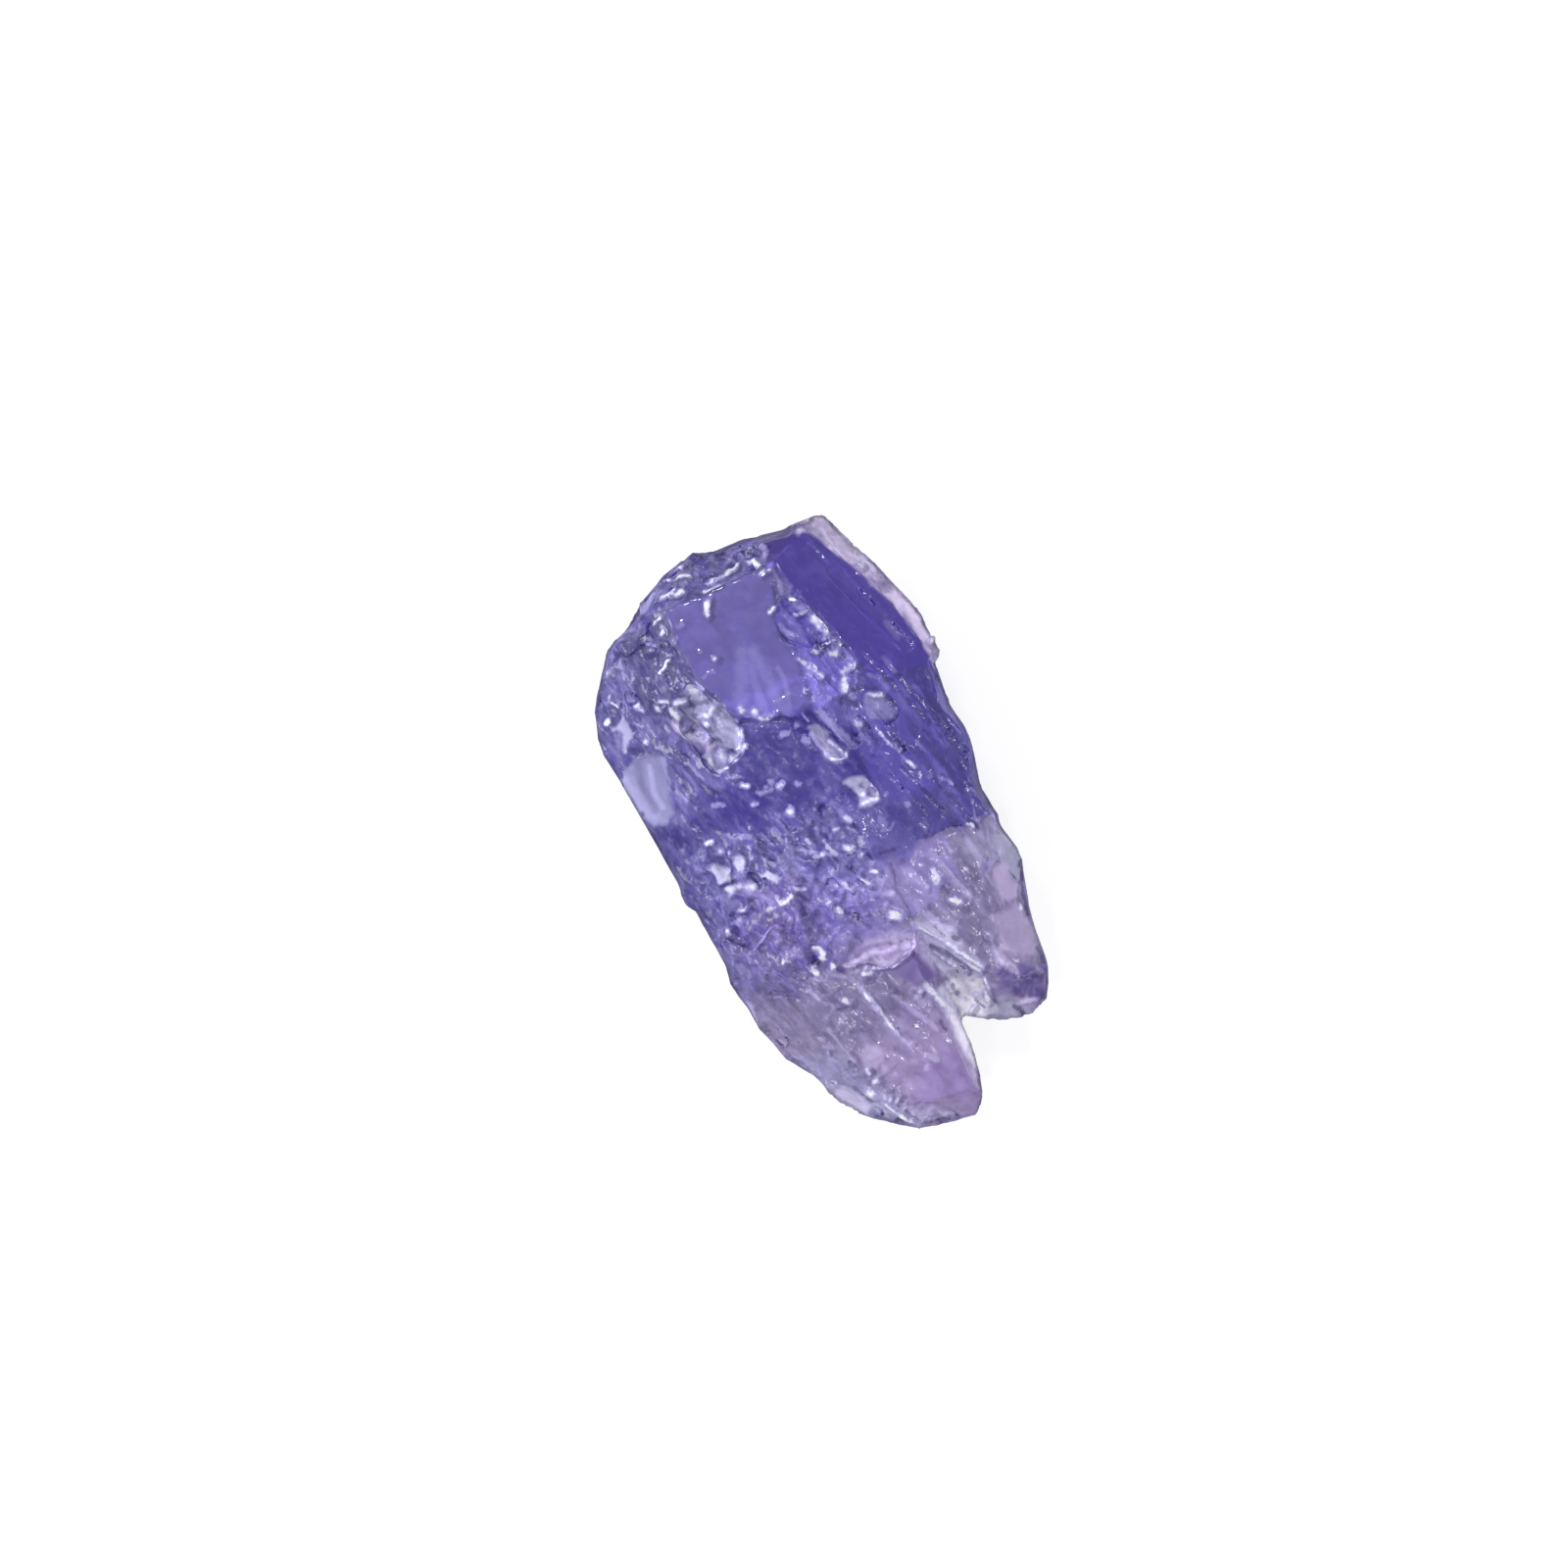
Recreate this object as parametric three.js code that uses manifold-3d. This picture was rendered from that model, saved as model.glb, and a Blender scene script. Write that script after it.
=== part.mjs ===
// Rough tanzanite: one broken zoisite crystal, lying on its flat back with its best face up.
// Millimetres, +Z up. +Y runs along the stone towards its bevelled end and +X across it. The origin is
// in the middle of the surface that it rests on.
import * as THREE from "three";
import { ConvexGeometry } from "three/addons/geometries/ConvexGeometry.js";
import { mergeVertices } from "three/addons/utils/BufferGeometryUtils.js";
import Module from "manifold-3d";

const wasm = await Module();
wasm.setup();

// Driving dimensions
const girdleHeight = 2.8; // where the stone is widest, above the surface that it rests on
const grainLean = THREE.MathUtils.degToRad(20); // from -Y towards +X: the way that the crystal is striated
const wingHeight = 3.0; // top of the thin wing beside the bevelled face
const wingThickness = 1.1;
const webThickness = 0.9; // of the thin plate in the notch between the lobes
const chipSize = 1; // scale of all the small chips
const chipCorners = 6;
const chipStretch = 0.8; // half length of a chip along the grain, as a share of its width
const chipTurn = 0.6; // radians either way from the grain
const weldDistance = 0.001; // corners closer than this are one
const farOut = 30; // well past the stone, for the blocks that cut it

const grain = new THREE.Vector2(Math.sin(grainLean), -Math.cos(grainLean));

// ---- Solids, and how they are cut ----

// A closed geometry as a solid that can be joined and cut.
function solidOf(geometry) {
  const bare = geometry.clone();
  bare.deleteAttribute("normal");
  bare.deleteAttribute("uv");
  const merged = mergeVertices(bare, weldDistance);
  return new wasm.Manifold(
    new wasm.Mesh({
      numProp: 3,
      vertProperties: new Float32Array(merged.attributes.position.array),
      triVerts: new Uint32Array(merged.index.array),
    }),
  );
}

function geometryOf(solid) {
  const mesh = solid.getMesh();
  const geometry = new THREE.BufferGeometry();
  geometry.setAttribute("position", new THREE.BufferAttribute(new Float32Array(mesh.vertProperties), 3));
  geometry.setIndex(new THREE.BufferAttribute(new Uint32Array(mesh.triVerts), 1));
  return geometry;
}

// The height over (x, y) of the plane through three points.
function planeHeight([a, b, c]) {
  const plane = new THREE.Plane().setFromCoplanarPoints(
    new THREE.Vector3(...a),
    new THREE.Vector3(...b),
    new THREE.Vector3(...c),
  );
  return (x, y) => -(plane.constant + plane.normal.x * x + plane.normal.y * y) / plane.normal.z;
}

const wayUp = () => farOut;
const wayDown = () => -farOut;

// A prism over an outline, between two heights that may vary over it.
function prism(outline, low, high) {
  const shape = new THREE.Shape(outline.map(([x, y]) => new THREE.Vector2(x, y)));
  const geometry = new THREE.ExtrudeGeometry(shape, { depth: 1, bevelEnabled: false });
  const place = geometry.attributes.position;
  for (let i = 0; i < place.count; i++) {
    const [x, y] = [place.getX(i), place.getY(i)];
    place.setZ(i, place.getZ(i) > 0.5 ? high(x, y) : low(x, y));
  }
  return solidOf(geometry);
}

// Everything beyond the plane through three points, as seen from an inside point.
function beyond(points, inside) {
  const [a, b, c] = points.map((point) => new THREE.Vector3(...point));
  const plane = new THREE.Plane().setFromCoplanarPoints(a, b, c);
  if (plane.distanceToPoint(new THREE.Vector3(...inside)) > 0) plane.negate();
  const block = new THREE.BoxGeometry(2 * farOut, 2 * farOut, farOut).translate(0, 0, farOut / 2);
  block.applyQuaternion(new THREE.Quaternion().setFromUnitVectors(new THREE.Vector3(0, 0, 1), plane.normal));
  block.translate(a.x, a.y, a.z);
  return solidOf(block);
}

// A solid cut by flat faces, each through three points.
function facet(solid, inside, faces) {
  return Object.values(faces).reduce((rest, points) => rest.subtract(beyond(points, inside)), solid);
}

// A repeatable source of random numbers from 0 to 1.
function randomFrom(seed) {
  let state = seed;
  return () => {
    state = (state * 1664525 + 1013904223) % 4294967296;
    return state / 4294967296;
  };
}

const between = (random, low, high) => low + (high - low) * random();

// ---- The outline, seen from the front, clockwise from the right-hand knob ----

const rightFlank = [
  [4.22, 2.95], [4.02, 2.78], [3.98, 2.5], [3.9, 1.75], [4.04, 1.1], [4.02, 0.5], [3.85, -0.2], [3.8, -0.5],
  [3.9, -1.2], [3.84, -1.45], [3.98, -2.1], [3.97, -2.45], [3.7, -3.5], [3.58, -4.1], [3.52, -5.0],
];
const rightLobeEnd = [
  [3.38, -5.45], [3.15, -5.8], [2.9, -6.0], [2.72, -6.05], [2.02, -5.92], [1.6, -5.68], [1.06, -5.3],
];
const leftLobeEnd = [
  [1.02, -6.3], [0.92, -6.9], [0.78, -7.3], [0.55, -7.6], [0.4, -7.68], [-0.5, -7.55], [-1.0, -7.4],
  [-1.5, -7.05], [-2.0, -6.65], [-2.52, -6.1], [-2.65, -5.7], [-2.68, -5.5],
];
const leftFlank = [
  [-2.8, -5.2], [-3.25, -4.55], [-3.4, -4.05], [-3.58, -3.6], [-3.62, -3.0], [-3.75, -2.35],
  [-3.68, -1.9], [-3.78, -0.7], [-3.8, -0.38], [-3.97, -0.12], [-3.92, 0.4], [-4.03, 1.5],
  [-4.15, 2.8], [-4.3, 4.0], [-4.28, 4.4],
];
const bevelledEnd = [
  [-4.1, 5.05], [-3.8, 5.5], [-3.4, 6.05], [-3.2, 6.3], [-3.0, 6.43], [-2.6, 6.58], [-2.0, 7.0],
  [-1.2, 7.42], [-0.6, 7.6], [-0.3, 7.65], [0.05, 7.56], [0.15, 7.47], [0.95, 7.42], [1.95, 7.26],
];
const wingEdge = [
  [2.3, 7.33], [2.7, 7.24], [2.96, 7.17], [3.06, 7.0], [3.6, 5.6], [4.1, 4.15], [4.33, 3.5], [4.35, 3.3],
];
const outline = [...rightFlank, ...rightLobeEnd, ...leftLobeEnd, ...leftFlank, ...bevelledEnd, ...wingEdge];

// How far the wall draws in from that outline at each height, and how much it is shaken in and up.
const wallRings = [
  { height: -0.5, inset: 0.55, shake: 0.1, lift: 0 },
  { height: 1.0, inset: 0.3, shake: 0.22, lift: 0.5 },
  { height: 1.8, inset: 0.08, shake: 0.16, lift: 0.4 },
  { height: girdleHeight, inset: 0, shake: 0, lift: 0.7 },
  { height: 3.9, inset: 0.06, shake: 0.16, lift: 0.5 },
  { height: 5.0, inset: 0.2, shake: 0.22, lift: 0.4 },
  { height: 7.0, inset: 0.5, shake: 0.1, lift: 0 },
];

// The wall: the outline carried up through its rings, broken into small uneven faces.
function brokenWall(random) {
  const shape = new THREE.Shape(outline.map(([x, y]) => new THREE.Vector2(x, y)));
  const steps = wallRings.length - 1;
  const geometry = new THREE.ExtrudeGeometry(shape, { depth: steps, steps, bevelEnabled: false });
  const inwards = outline.map((point, i) => {
    const before = outline.at(i - 1);
    const after = outline[(i + 1) % outline.length];
    return new THREE.Vector2(after[1] - before[1], before[0] - after[0]).normalize();
  });
  const shifts = wallRings.map(({ height, inset, shake, lift }) => inwards.map((way) => {
    const { x, y } = way.clone().multiplyScalar(inset + shake * random());
    return new THREE.Vector3(x, y, height + lift * (random() - 0.5));
  }));
  const place = geometry.attributes.position;
  for (let i = 0; i < place.count; i++) {
    const ring = Math.round(place.getZ(i));
    const corner = outline.findIndex(([x, y]) => Math.hypot(x - place.getX(i), y - place.getY(i)) < 1e-4);
    const shift = shifts[ring][corner];
    place.setXYZ(i, place.getX(i) + shift.x, place.getY(i) + shift.y, shift.z);
  }
  return solidOf(geometry);
}

// ---- The big forms: the body, its two lobes, the thin wing and the thin web in the notch ----

const middle = [0, 0, 2.6];

const bodyOutline = [
  [1.98, 7.5], [2.65, 6.6], [3.0, 5.8], [3.4, 5.0], [3.75, 3.9], [3.98, 2.9], [4.3, 2.0], [4.3, -1.1],
  [3.1, -1.15], [2.6, -1.05], [1.9, -1.0], [1.7, -0.75], [1.2, -0.95], [0.85, -1.5], [0.95, -2.6],
  [0.8, -3.3], [0.0, -3.45], [-0.9, -3.1], [-1.6, -2.75], [-2.1, -2.9], [-3.0, -2.95], [-4.2, -3.0],
  [-5.0, 4.0], [-4.0, 6.5], [-2.5, 7.6], [0, 8.2],
];
const bodyFaces = {
  window: [[1.4, 6.5, 5.7], [2.0, 3.2, 6.0], [-1.6, 5.0, 5.7]],
  prismFace: [[1.4, 6.5, 5.7], [2.0, 3.2, 6.0], [3.9, 3.2, 4.75]],
  lowerFront: [[-1.0, 3.2, 5.9], [1.5, 3.2, 5.95], [0, -2.5, 5.0]],
  rightFront: [[1.1, 2.6, 5.85], [1.0, -1, 5.4], [4.0, 1.0, 4.3]],
  endBevel: [[-1, 6.6, 5.55], [1.2, 6.62, 5.55], [0, 7.5, 4.1]],
  upperLeft: [[-1.5, 5.6, 5.6], [-2.3, 6.6, 4.85], [-3.5, 6.0, 3.7]],
  leftShoulder: [[-1.6, 4.8, 5.65], [-1.4, 2.5, 5.6], [-4.2, 3.6, 3.5]],
  leftFront: [[-1.9, 2.2, 5.35], [-2.0, -2, 4.9], [-4.0, 0.5, 3.4]],
  lowerSlope: [[-1.0, -1.6, 5.1], [0.9, -1.6, 5.1], [0, -3.4, 4.5]],
};

const leftLobeOutline = [
  [0.95, -1.7], [1.1, -8], [-3, -8], [-4, -4], [-4, -1.5], [-3.4, -1.2], [-2.9, -1.75], [-2.2, -1.35],
  [-1.4, -1.95], [-0.2, -2.2],
];
const leftLobeFaces = {
  front: [[-2.0, -3, 4.55], [0.5, -3, 4.4], [-0.5, -7, 3.45]],
  leftFacet: [[-2.2, -3, 4.55], [-1.7, -6.3, 3.55], [-3.5, -4, 3.1]],
  notchFacet: [[0.6, -4, 4.15], [0.7, -7, 3.3], [1.04, -5.5, 3.0]],
  endFacet: [[-1.2, -6.9, 3.45], [0.5, -7.0, 3.4], [0, -7.68, 2.6]],
  cornerFacet: [[-2.3, -5.8, 3.5], [-1.2, -6.9, 3.4], [-2.55, -6.5, 2.5]],
};

const rightLobeOutline = [
  [0.7, -0.5], [4.3, -0.5], [4.3, -6.3], [1.95, -6.3], [1.9, -4.5], [1.05, -4.3], [0.7, -2.8],
];
const rightLobeFaces = {
  front: [[1.5, -1, 4.75], [3.0, -1.2, 4.45], [2.5, -5, 3.7]],
  rightFacet: [[3.05, -2.2, 4.15], [3.0, -4.6, 3.65], [3.95, -2.5, 3.3]],
  tipFacet: [[2.0, -4.7, 3.75], [3.2, -4.8, 3.6], [2.8, -6.05, 2.6]],
  notchFacet: [[1.9, -4.2, 3.85], [1.0, -3.0, 4.25], [1.3, -4.4, 3.1]],
};

// The flat spot that it rests on, and the long faces that rise from it to the wall.
const backFaces = {
  restingSpot: [[0, 0, 0], [1, 0, 0], [0, 1, 0]],
  left: [[-1.9, 3.5, 0], [-2.1, -3, 0], [-4.2, 1, 2.4]],
  leftLow: [[-1.3, 2.5, 0], [-1.2, -3, 0], [-3.0, 0, 0.9]],
  right: [[2.0, 3.5, 0], [2.2, -2, 0], [3.95, 1, 2.2]],
  end: [[-1.5, 3.9, 0], [1.5, 3.6, 0], [0, 7.5, 2.3]],
  endLeft: [[-1.9, 3.3, 0], [-0.8, 4.3, 0], [-3.6, 5.9, 2.4]],
  endRight: [[1.9, 3.0, 0], [1.2, 3.8, 0], [3.4, 5.6, 1.8]],
  taper: [[-1.5, -2.4, 0], [1.5, -2.2, 0], [0, -7.6, 1.9]],
  taperLeft: [[-1.6, -2.2, 0], [-0.9, -3.4, 0.3], [-2.6, -6.0, 2.0]],
  taperRight: [[1.9, -1.6, 0], [1.6, -3.2, 0.3], [3.4, -4.8, 1.9]],
};

const wingOutline = [[1.2, 7.27], ...wingEdge, [4.22, 2.95], [4.02, 2.78], [3.2, 2.6], [1.2, 6.0]];
const wingTop = [[2.5, 7.2, wingHeight], [2.0, 6.5, wingHeight + 0.5], [4.2, 3.2, wingHeight - 0.2]];

const webOutline = [[0.9, -4.1], [2.3, -4.1], [2.4, -6.2], [1.06, -5.3], [0.9, -5.2]];
const webTop = [[1, -4.2, 3.2], [2.1, -4.4, 3.1], [1.6, -5.7, 2.5]];

// ---- Steps, ledges and pockets of the front: what lies over each floor is broken away ----

const frontSteps = {
  middleFloor: {
    outline: [
      [-1.05, 3.2], [-0.85, 3.45], [-0.5, 3.25], [-0.1, 3.1], [0.5, 3.0], [0.75, 2.2], [0.62, 1.2],
      [0.5, 0.4], [-1.0, 0.4], [-2.1, 0.9], [-1.75, 2.5], [-1.15, 2.7],
    ],
    floor: [[-1, 3, 5.5], [0.5, 3, 5.55], [0, 0.4, 5.2]],
  },
  silverTrough: {
    outline: [
      [-2.35, 4.3], [-2.1, 4.5], [-1.6, 4.6], [-1.1, 3.6], [-1.0, 3.2], [-1.15, 2.7], [-1.9, 2.5],
      [-2.05, 2.8], [-2.2, 3.4],
    ],
    floor: [[-2.1, 4.5, 4.9], [-1.05, 3.3, 5.1], [-1.9, 2.5, 4.6]],
  },
  troughSlot: {
    outline: [[-2.35, 4.3], [-2.2, 4.35], [-1.95, 3.5], [-1.85, 2.9], [-2.05, 2.85]],
    floor: [[-2.3, 4.3, 4.6], [-1.95, 3.5, 4.5], [-2.05, 2.9, 4.3]],
  },
  troughEnd: {
    outline: [[-1.6, 2.75], [-1.2, 2.85], [-1.15, 2.7], [-1.45, 2.6], [-1.8, 2.62]],
    floor: [[-1.6, 2.75, 4.4], [-1.2, 2.8, 4.5], [-1.5, 2.6, 4.3]],
  },
  shoulderPocket: {
    outline: [[-2.9, 5.9], [-2.3, 6.0], [-1.8, 5.6], [-1.75, 5.1], [-2.1, 4.7], [-2.7, 4.8], [-3.0, 5.2]],
    floor: [[-2.9, 5.9, 4.15], [-1.8, 5.6, 5.1], [-2.4, 4.8, 4.8]],
  },
  paleFacet: {
    outline: [[-4.5, 3.68], [-3.9, 3.7], [-3.0, 3.55], [-3.15, 2.4], [-3.35, 1.95], [-4.4, 1.95]],
    floor: [[-4.2, 3.6, 3.35], [-3.0, 3.5, 4.05], [-3.3, 2.0, 3.8]],
  },
  starFacet: {
    outline: [[-3.8, 4.55], [-3.45, 4.75], [-3.3, 4.2], [-3.55, 4.0], [-3.8, 3.85]],
    floor: [[-3.8, 4.5, 3.4], [-3.35, 4.5, 3.9], [-3.6, 3.9, 3.85]],
  },
  leftNick: {
    outline: [[-4.6, 5.4], [-3.75, 5.2], [-3.6, 4.9], [-3.9, 4.6], [-4.6, 4.5]],
    floor: [[-4.2, 5.2, 3.1], [-3.6, 5.0, 3.7], [-4.2, 4.6, 3.2]],
  },
  ledgeHigh: {
    outline: [[0.85, 5.3], [1.2, 5.62], [1.55, 5.4], [1.85, 4.6], [1.75, 4.25], [1.25, 4.35], [0.95, 4.7]],
    floor: [[0.85, 5.3, 5.75], [1.7, 5.2, 5.5], [1.8, 4.3, 5.5]],
  },
  ledgeLow: {
    outline: [[1.3, 4.25], [1.95, 4.2], [2.15, 3.55], [1.75, 3.1], [1.6, 2.9], [1.4, 3.4]],
    floor: [[1.3, 4.2, 5.85], [2.0, 4.1, 5.45], [1.7, 3.0, 5.55]],
  },
  endPocketLeft: {
    outline: [[-1.6, 7.3], [-0.75, 7.35], [-0.6, 6.95], [-0.95, 6.7], [-1.6, 6.72]],
    floor: [[-1.5, 7.2, 4.3], [-0.7, 7.2, 4.6], [-1.1, 6.75, 5.1]],
  },
  endPocketRight: {
    outline: [[-0.4, 7.4], [0.5, 7.35], [1.0, 6.9], [0.75, 6.62], [0.0, 6.75], [-0.5, 6.9]],
    floor: [[-0.3, 7.4, 4.1], [0.9, 7.0, 4.6], [0.2, 6.7, 5.15]],
  },
  lobeFacetHigh: {
    outline: [[3.05, -2.3], [4.2, -1.9], [4.2, -3.3], [3.5, -3.25], [3.05, -3.1]],
    floor: [[3.05, -2.3, 3.95], [3.9, -2.4, 3.3], [3.1, -3.2, 3.85]],
  },
  lobeFacetLow: {
    outline: [[2.75, -3.3], [3.5, -3.28], [4.1, -3.3], [4.0, -4.7], [2.65, -4.2], [2.55, -3.9]],
    floor: [[2.75, -3.3, 4.0], [3.7, -3.4, 3.35], [3.0, -4.6, 3.6]],
  },
  tipPocket: {
    outline: [[2.1, -4.8], [2.7, -4.65], [2.8, -5.1], [3.6, -5.0], [3.5, -6.3], [2.6, -6.3], [2.3, -5.6]],
    floor: [[2.2, -4.9, 3.4], [3.3, -5.1, 3.2], [2.8, -6.0, 2.4]],
  },
  cornerChip: {
    outline: [[-2.9, -5.55], [-2.2, -5.7], [-1.95, -6.2], [-1.7, -6.7], [-2.4, -6.9]],
    floor: [[-2.6, -5.7, 3.0], [-2.0, -6.0, 3.3], [-2.1, -6.6, 2.7]],
  },
};

// Steps of the back: what lies under each ceiling is broken away.
const backSteps = {
  notchGroove: {
    outline: [[0.55, -6.2], [1.4, -6.2], [1.35, -4.2], [1.05, -2.4], [0.75, -3.6]],
    ceiling: [[0.6, -6, 2.0], [1.4, -6, 2.2], [1.05, -2.4, 0.1]],
  },
  leftCleavage: {
    outline: [[-4.6, -3.2], [-2.75, -3.0], [-2.6, 0.4], [-2.95, 3.3], [-4.6, 3.0]],
    ceiling: [[-2.6, -3, 1.15], [-2.8, 3, 1.1], [-4, 0, 2.3]],
  },
  rightCleavage: {
    outline: [[2.5, 3.8], [2.75, 0.6], [2.6, -0.8], [4.6, -1.0], [4.6, 3.2]],
    ceiling: [[2.6, 3.0, 0.95], [2.6, -0.8, 0.85], [4.0, 1.5, 2.4]],
  },
  endCleavage: {
    outline: [[-0.3, 4.6], [1.2, 4.4], [1.5, 5.2], [1.2, 8], [-0.6, 8], [-0.45, 6.0]],
    ceiling: [[-0.2, 4.6, 0.75], [1.3, 4.6, 0.8], [0.4, 7.5, 3.15]],
  },
  tailCleavage: {
    outline: [[-1.6, -3.9], [-0.2, -4.1], [0.1, -5.6], [-0.2, -8], [-1.5, -8], [-1.9, -5.4]],
    ceiling: [[-1.5, -4, 0.85], [0, -4, 0.8], [-0.7, -7.4, 2.1]],
  },
};

// ---- Marks along the grain ----

// Narrow pockets, each deepest at its lower end.
const stubs = [
  { start: [0.55, 2.65], length: 1.1, width: 0.34, depth: 0.3 },
  { start: [0.98, 1.1], length: 0.78, width: 0.38, depth: 0.3 },
  { start: [2.2, 2.75], length: 0.85, width: 0.42, depth: 0.2 },
  { start: [2.1, 1.85], length: 1.05, width: 0.2, depth: 0.25 },
  { start: [2.92, 0.28], length: 0.42, width: 0.15, depth: 0.18 },
  { start: [1.0, 4.22], length: 0.72, width: 0.13, depth: 0.14 },
  { start: [1.15, 2.5], length: 0.8, width: 0.3, depth: 0.18 },
  { start: [1.6, 2.4], length: 0.6, width: 0.22, depth: 0.2 },
];

// Sharp ridges, each from a start to an end.
const ridges = [
  { from: [1.0, -2.9], to: [2.05, -4.45], width: 0.13, height: 0.12 },
  { from: [1.12, -3.25], to: [1.9, -4.5], width: 0.11, height: 0.1 },
  { from: [1.02, -3.5], to: [1.68, -4.5], width: 0.12, height: 0.12 },
  { from: [1.0, -3.85], to: [1.5, -4.45], width: 0.1, height: 0.1 },
  { from: [-0.85, -3.6], to: [-0.65, -4.75], width: 0.14, height: 0.13 },
  { from: [-0.66, -4.7], to: [-0.28, -5.45], width: 0.13, height: 0.12 },
  { from: [0.62, -4.2], to: [0.78, -5.0], width: 0.14, height: 0.1 },
  { from: [0.0, -4.2], to: [0.5, -5.4], width: 0.12, height: 0.07 },
  { from: [-0.62, -1.5], to: [-0.1, -2.4], width: 0.12, height: 0.08 },
  { from: [2.1, -1.6], to: [2.45, -2.7], width: 0.18, height: 0.08 },
  { from: [-1.5, -6.45], to: [-1.1, -7.15], width: 0.14, height: 0.08 },
];

// Shallow steps down the two right-hand faces: x where each starts, y of its upper and lower ends.
const striations = [
  { x: 2.2, top: 6.6, bottom: 4.4, width: 0.3, depth: 0.05 },
  { x: 2.55, top: 5.9, bottom: 3.3, width: 0.34, depth: 0.06 },
  { x: 2.3, top: 3.7, bottom: 1.6, width: 0.3, depth: 0.07 },
  { x: 2.7, top: 3.3, bottom: 1.0, width: 0.26, depth: 0.06 },
  { x: 3.0, top: 2.4, bottom: 0.3, width: 0.24, depth: 0.06 },
  { x: 1.5, top: 1.4, bottom: -0.5, width: 0.26, depth: 0.08 },
  { x: 2.0, top: 0.9, bottom: -0.7, width: 0.3, depth: 0.08 },
  { x: 2.6, top: 0.4, bottom: -0.8, width: 0.25, depth: 0.07 },
];

// ---- Chips: where the fracture is rough, many small ones are scattered ----

// Of the front, each patch is a box in x and y. The width and depth are of its chips.
const chippedPatches = [
  { x: [-3.6, 0.6], y: [-1.2, 1.0], chips: 46, width: [0.35, 0.7], depth: [0.06, 0.15] },
  { x: [-3.9, -1.6], y: [4.4, 6.4], chips: 20, width: [0.4, 0.9], depth: [0.06, 0.14] },
  { x: [-2.2, 1.4], y: [6.6, 7.5], chips: 16, width: [0.35, 0.7], depth: [0.06, 0.14] },
  { x: [-2.1, -1.2], y: [2.7, 4.4], chips: 11, width: [0.25, 0.5], depth: [0.06, 0.14] },
  { x: [-1.4, 0.6], y: [1.0, 2.6], chips: 7, width: [0.25, 0.5], depth: [0.04, 0.08] },
  { x: [-3.5, 0.9], y: [-3.2, -1.1], chips: 26, width: [0.4, 0.85], depth: [0.05, 0.11] },
  { x: [-3.2, -0.9], y: [-7.0, -3.2], chips: 20, width: [0.4, 0.9], depth: [0.05, 0.12] },
  { x: [-0.8, 0.9], y: [-7.4, -3.6], chips: 7, width: [0.6, 1.2], depth: [0.04, 0.08] },
  { x: [0.9, 3.8], y: [-4.4, -1.0], chips: 20, width: [0.4, 0.9], depth: [0.05, 0.1] },
  { x: [1.1, 3.4], y: [-5.8, -4.4], chips: 11, width: [0.3, 0.6], depth: [0.05, 0.1] },
  { x: [0.9, 2.0], y: [2.9, 5.6], chips: 9, width: [0.25, 0.5], depth: [0.04, 0.09] },
  { x: [0.6, 3.8], y: [-0.9, 2.8], chips: 12, width: [0.3, 0.6], depth: [0.03, 0.07] },
];
const sideChips = { chips: 48, width: [0.6, 1.6], depth: [0.07, 0.2] };
const backChips = { chips: 36, width: [0.7, 2.2], depth: [0.06, 0.2] };

// Meets the solid's surface with a ray.
function surfaceOf(solid) {
  const target = new THREE.Mesh(geometryOf(solid), new THREE.MeshBasicMaterial());
  const ray = new THREE.Raycaster();
  return (from, way) => {
    ray.set(from, way);
    return ray.intersectObject(target)[0];
  };
}

const down = new THREE.Vector3(0, 0, -1);

function heightOf(meet, x, y) {
  return meet(new THREE.Vector3(x, y, farOut), down).point.z;
}

// A chip: the hull of a few points scattered over a flat lens, drawn out roughly along the grain.
function chip({ point, face }, { width, depth }, random) {
  const across = between(random, ...width) * chipSize;
  const deep = between(random, ...depth) * chipSize;
  const lean = between(random, -chipTurn, chipTurn);
  const along = new THREE.Vector3(grain.x, grain.y, 0).applyAxisAngle(face.normal, lean);
  const side = new THREE.Vector3().crossVectors(face.normal, along).normalize();
  const frame = new THREE.Matrix4().makeBasis(
    new THREE.Vector3().crossVectors(side, face.normal),
    side,
    face.normal,
  );
  const points = Array.from({ length: chipCorners }, () => new THREE.Vector3().setFromSphericalCoords(
    1,
    Math.acos(between(random, -1, 1)),
    between(random, 0, 2 * Math.PI),
  ));
  const lowest = Math.min(...points.map(({ z }) => z));
  for (const corner of points) {
    corner.set(
      corner.x * across * chipStretch,
      (corner.y * across) / 2,
      deep * (1 + (2 * corner.z) / Math.abs(lowest)),
    );
    corner.applyMatrix4(frame).add(point);
  }
  return solidOf(new ConvexGeometry(points));
}

// A strip along a direction, as the corners of its right and left edges from the upper end down.
function strip([x, y], length, width, along) {
  const side = new THREE.Vector2(-along.y, along.x).multiplyScalar(width / 2);
  const start = new THREE.Vector2(x, y);
  const end = start.clone().addScaledVector(along, length);
  return [
    start.clone().add(side),
    end.clone().add(side),
    end.clone().sub(side),
    start.clone().sub(side),
  ].map((corner) => corner.toArray());
}

// A pocket over a strip, its floor as deep under the surface as is given at three of its corners.
function pocket(meet, corners, depths) {
  const floor = depths.map((depth, i) => [...corners[i], heightOf(meet, ...corners[i]) - depth]);
  return prism(corners, planeHeight(floor), wayUp);
}

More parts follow.
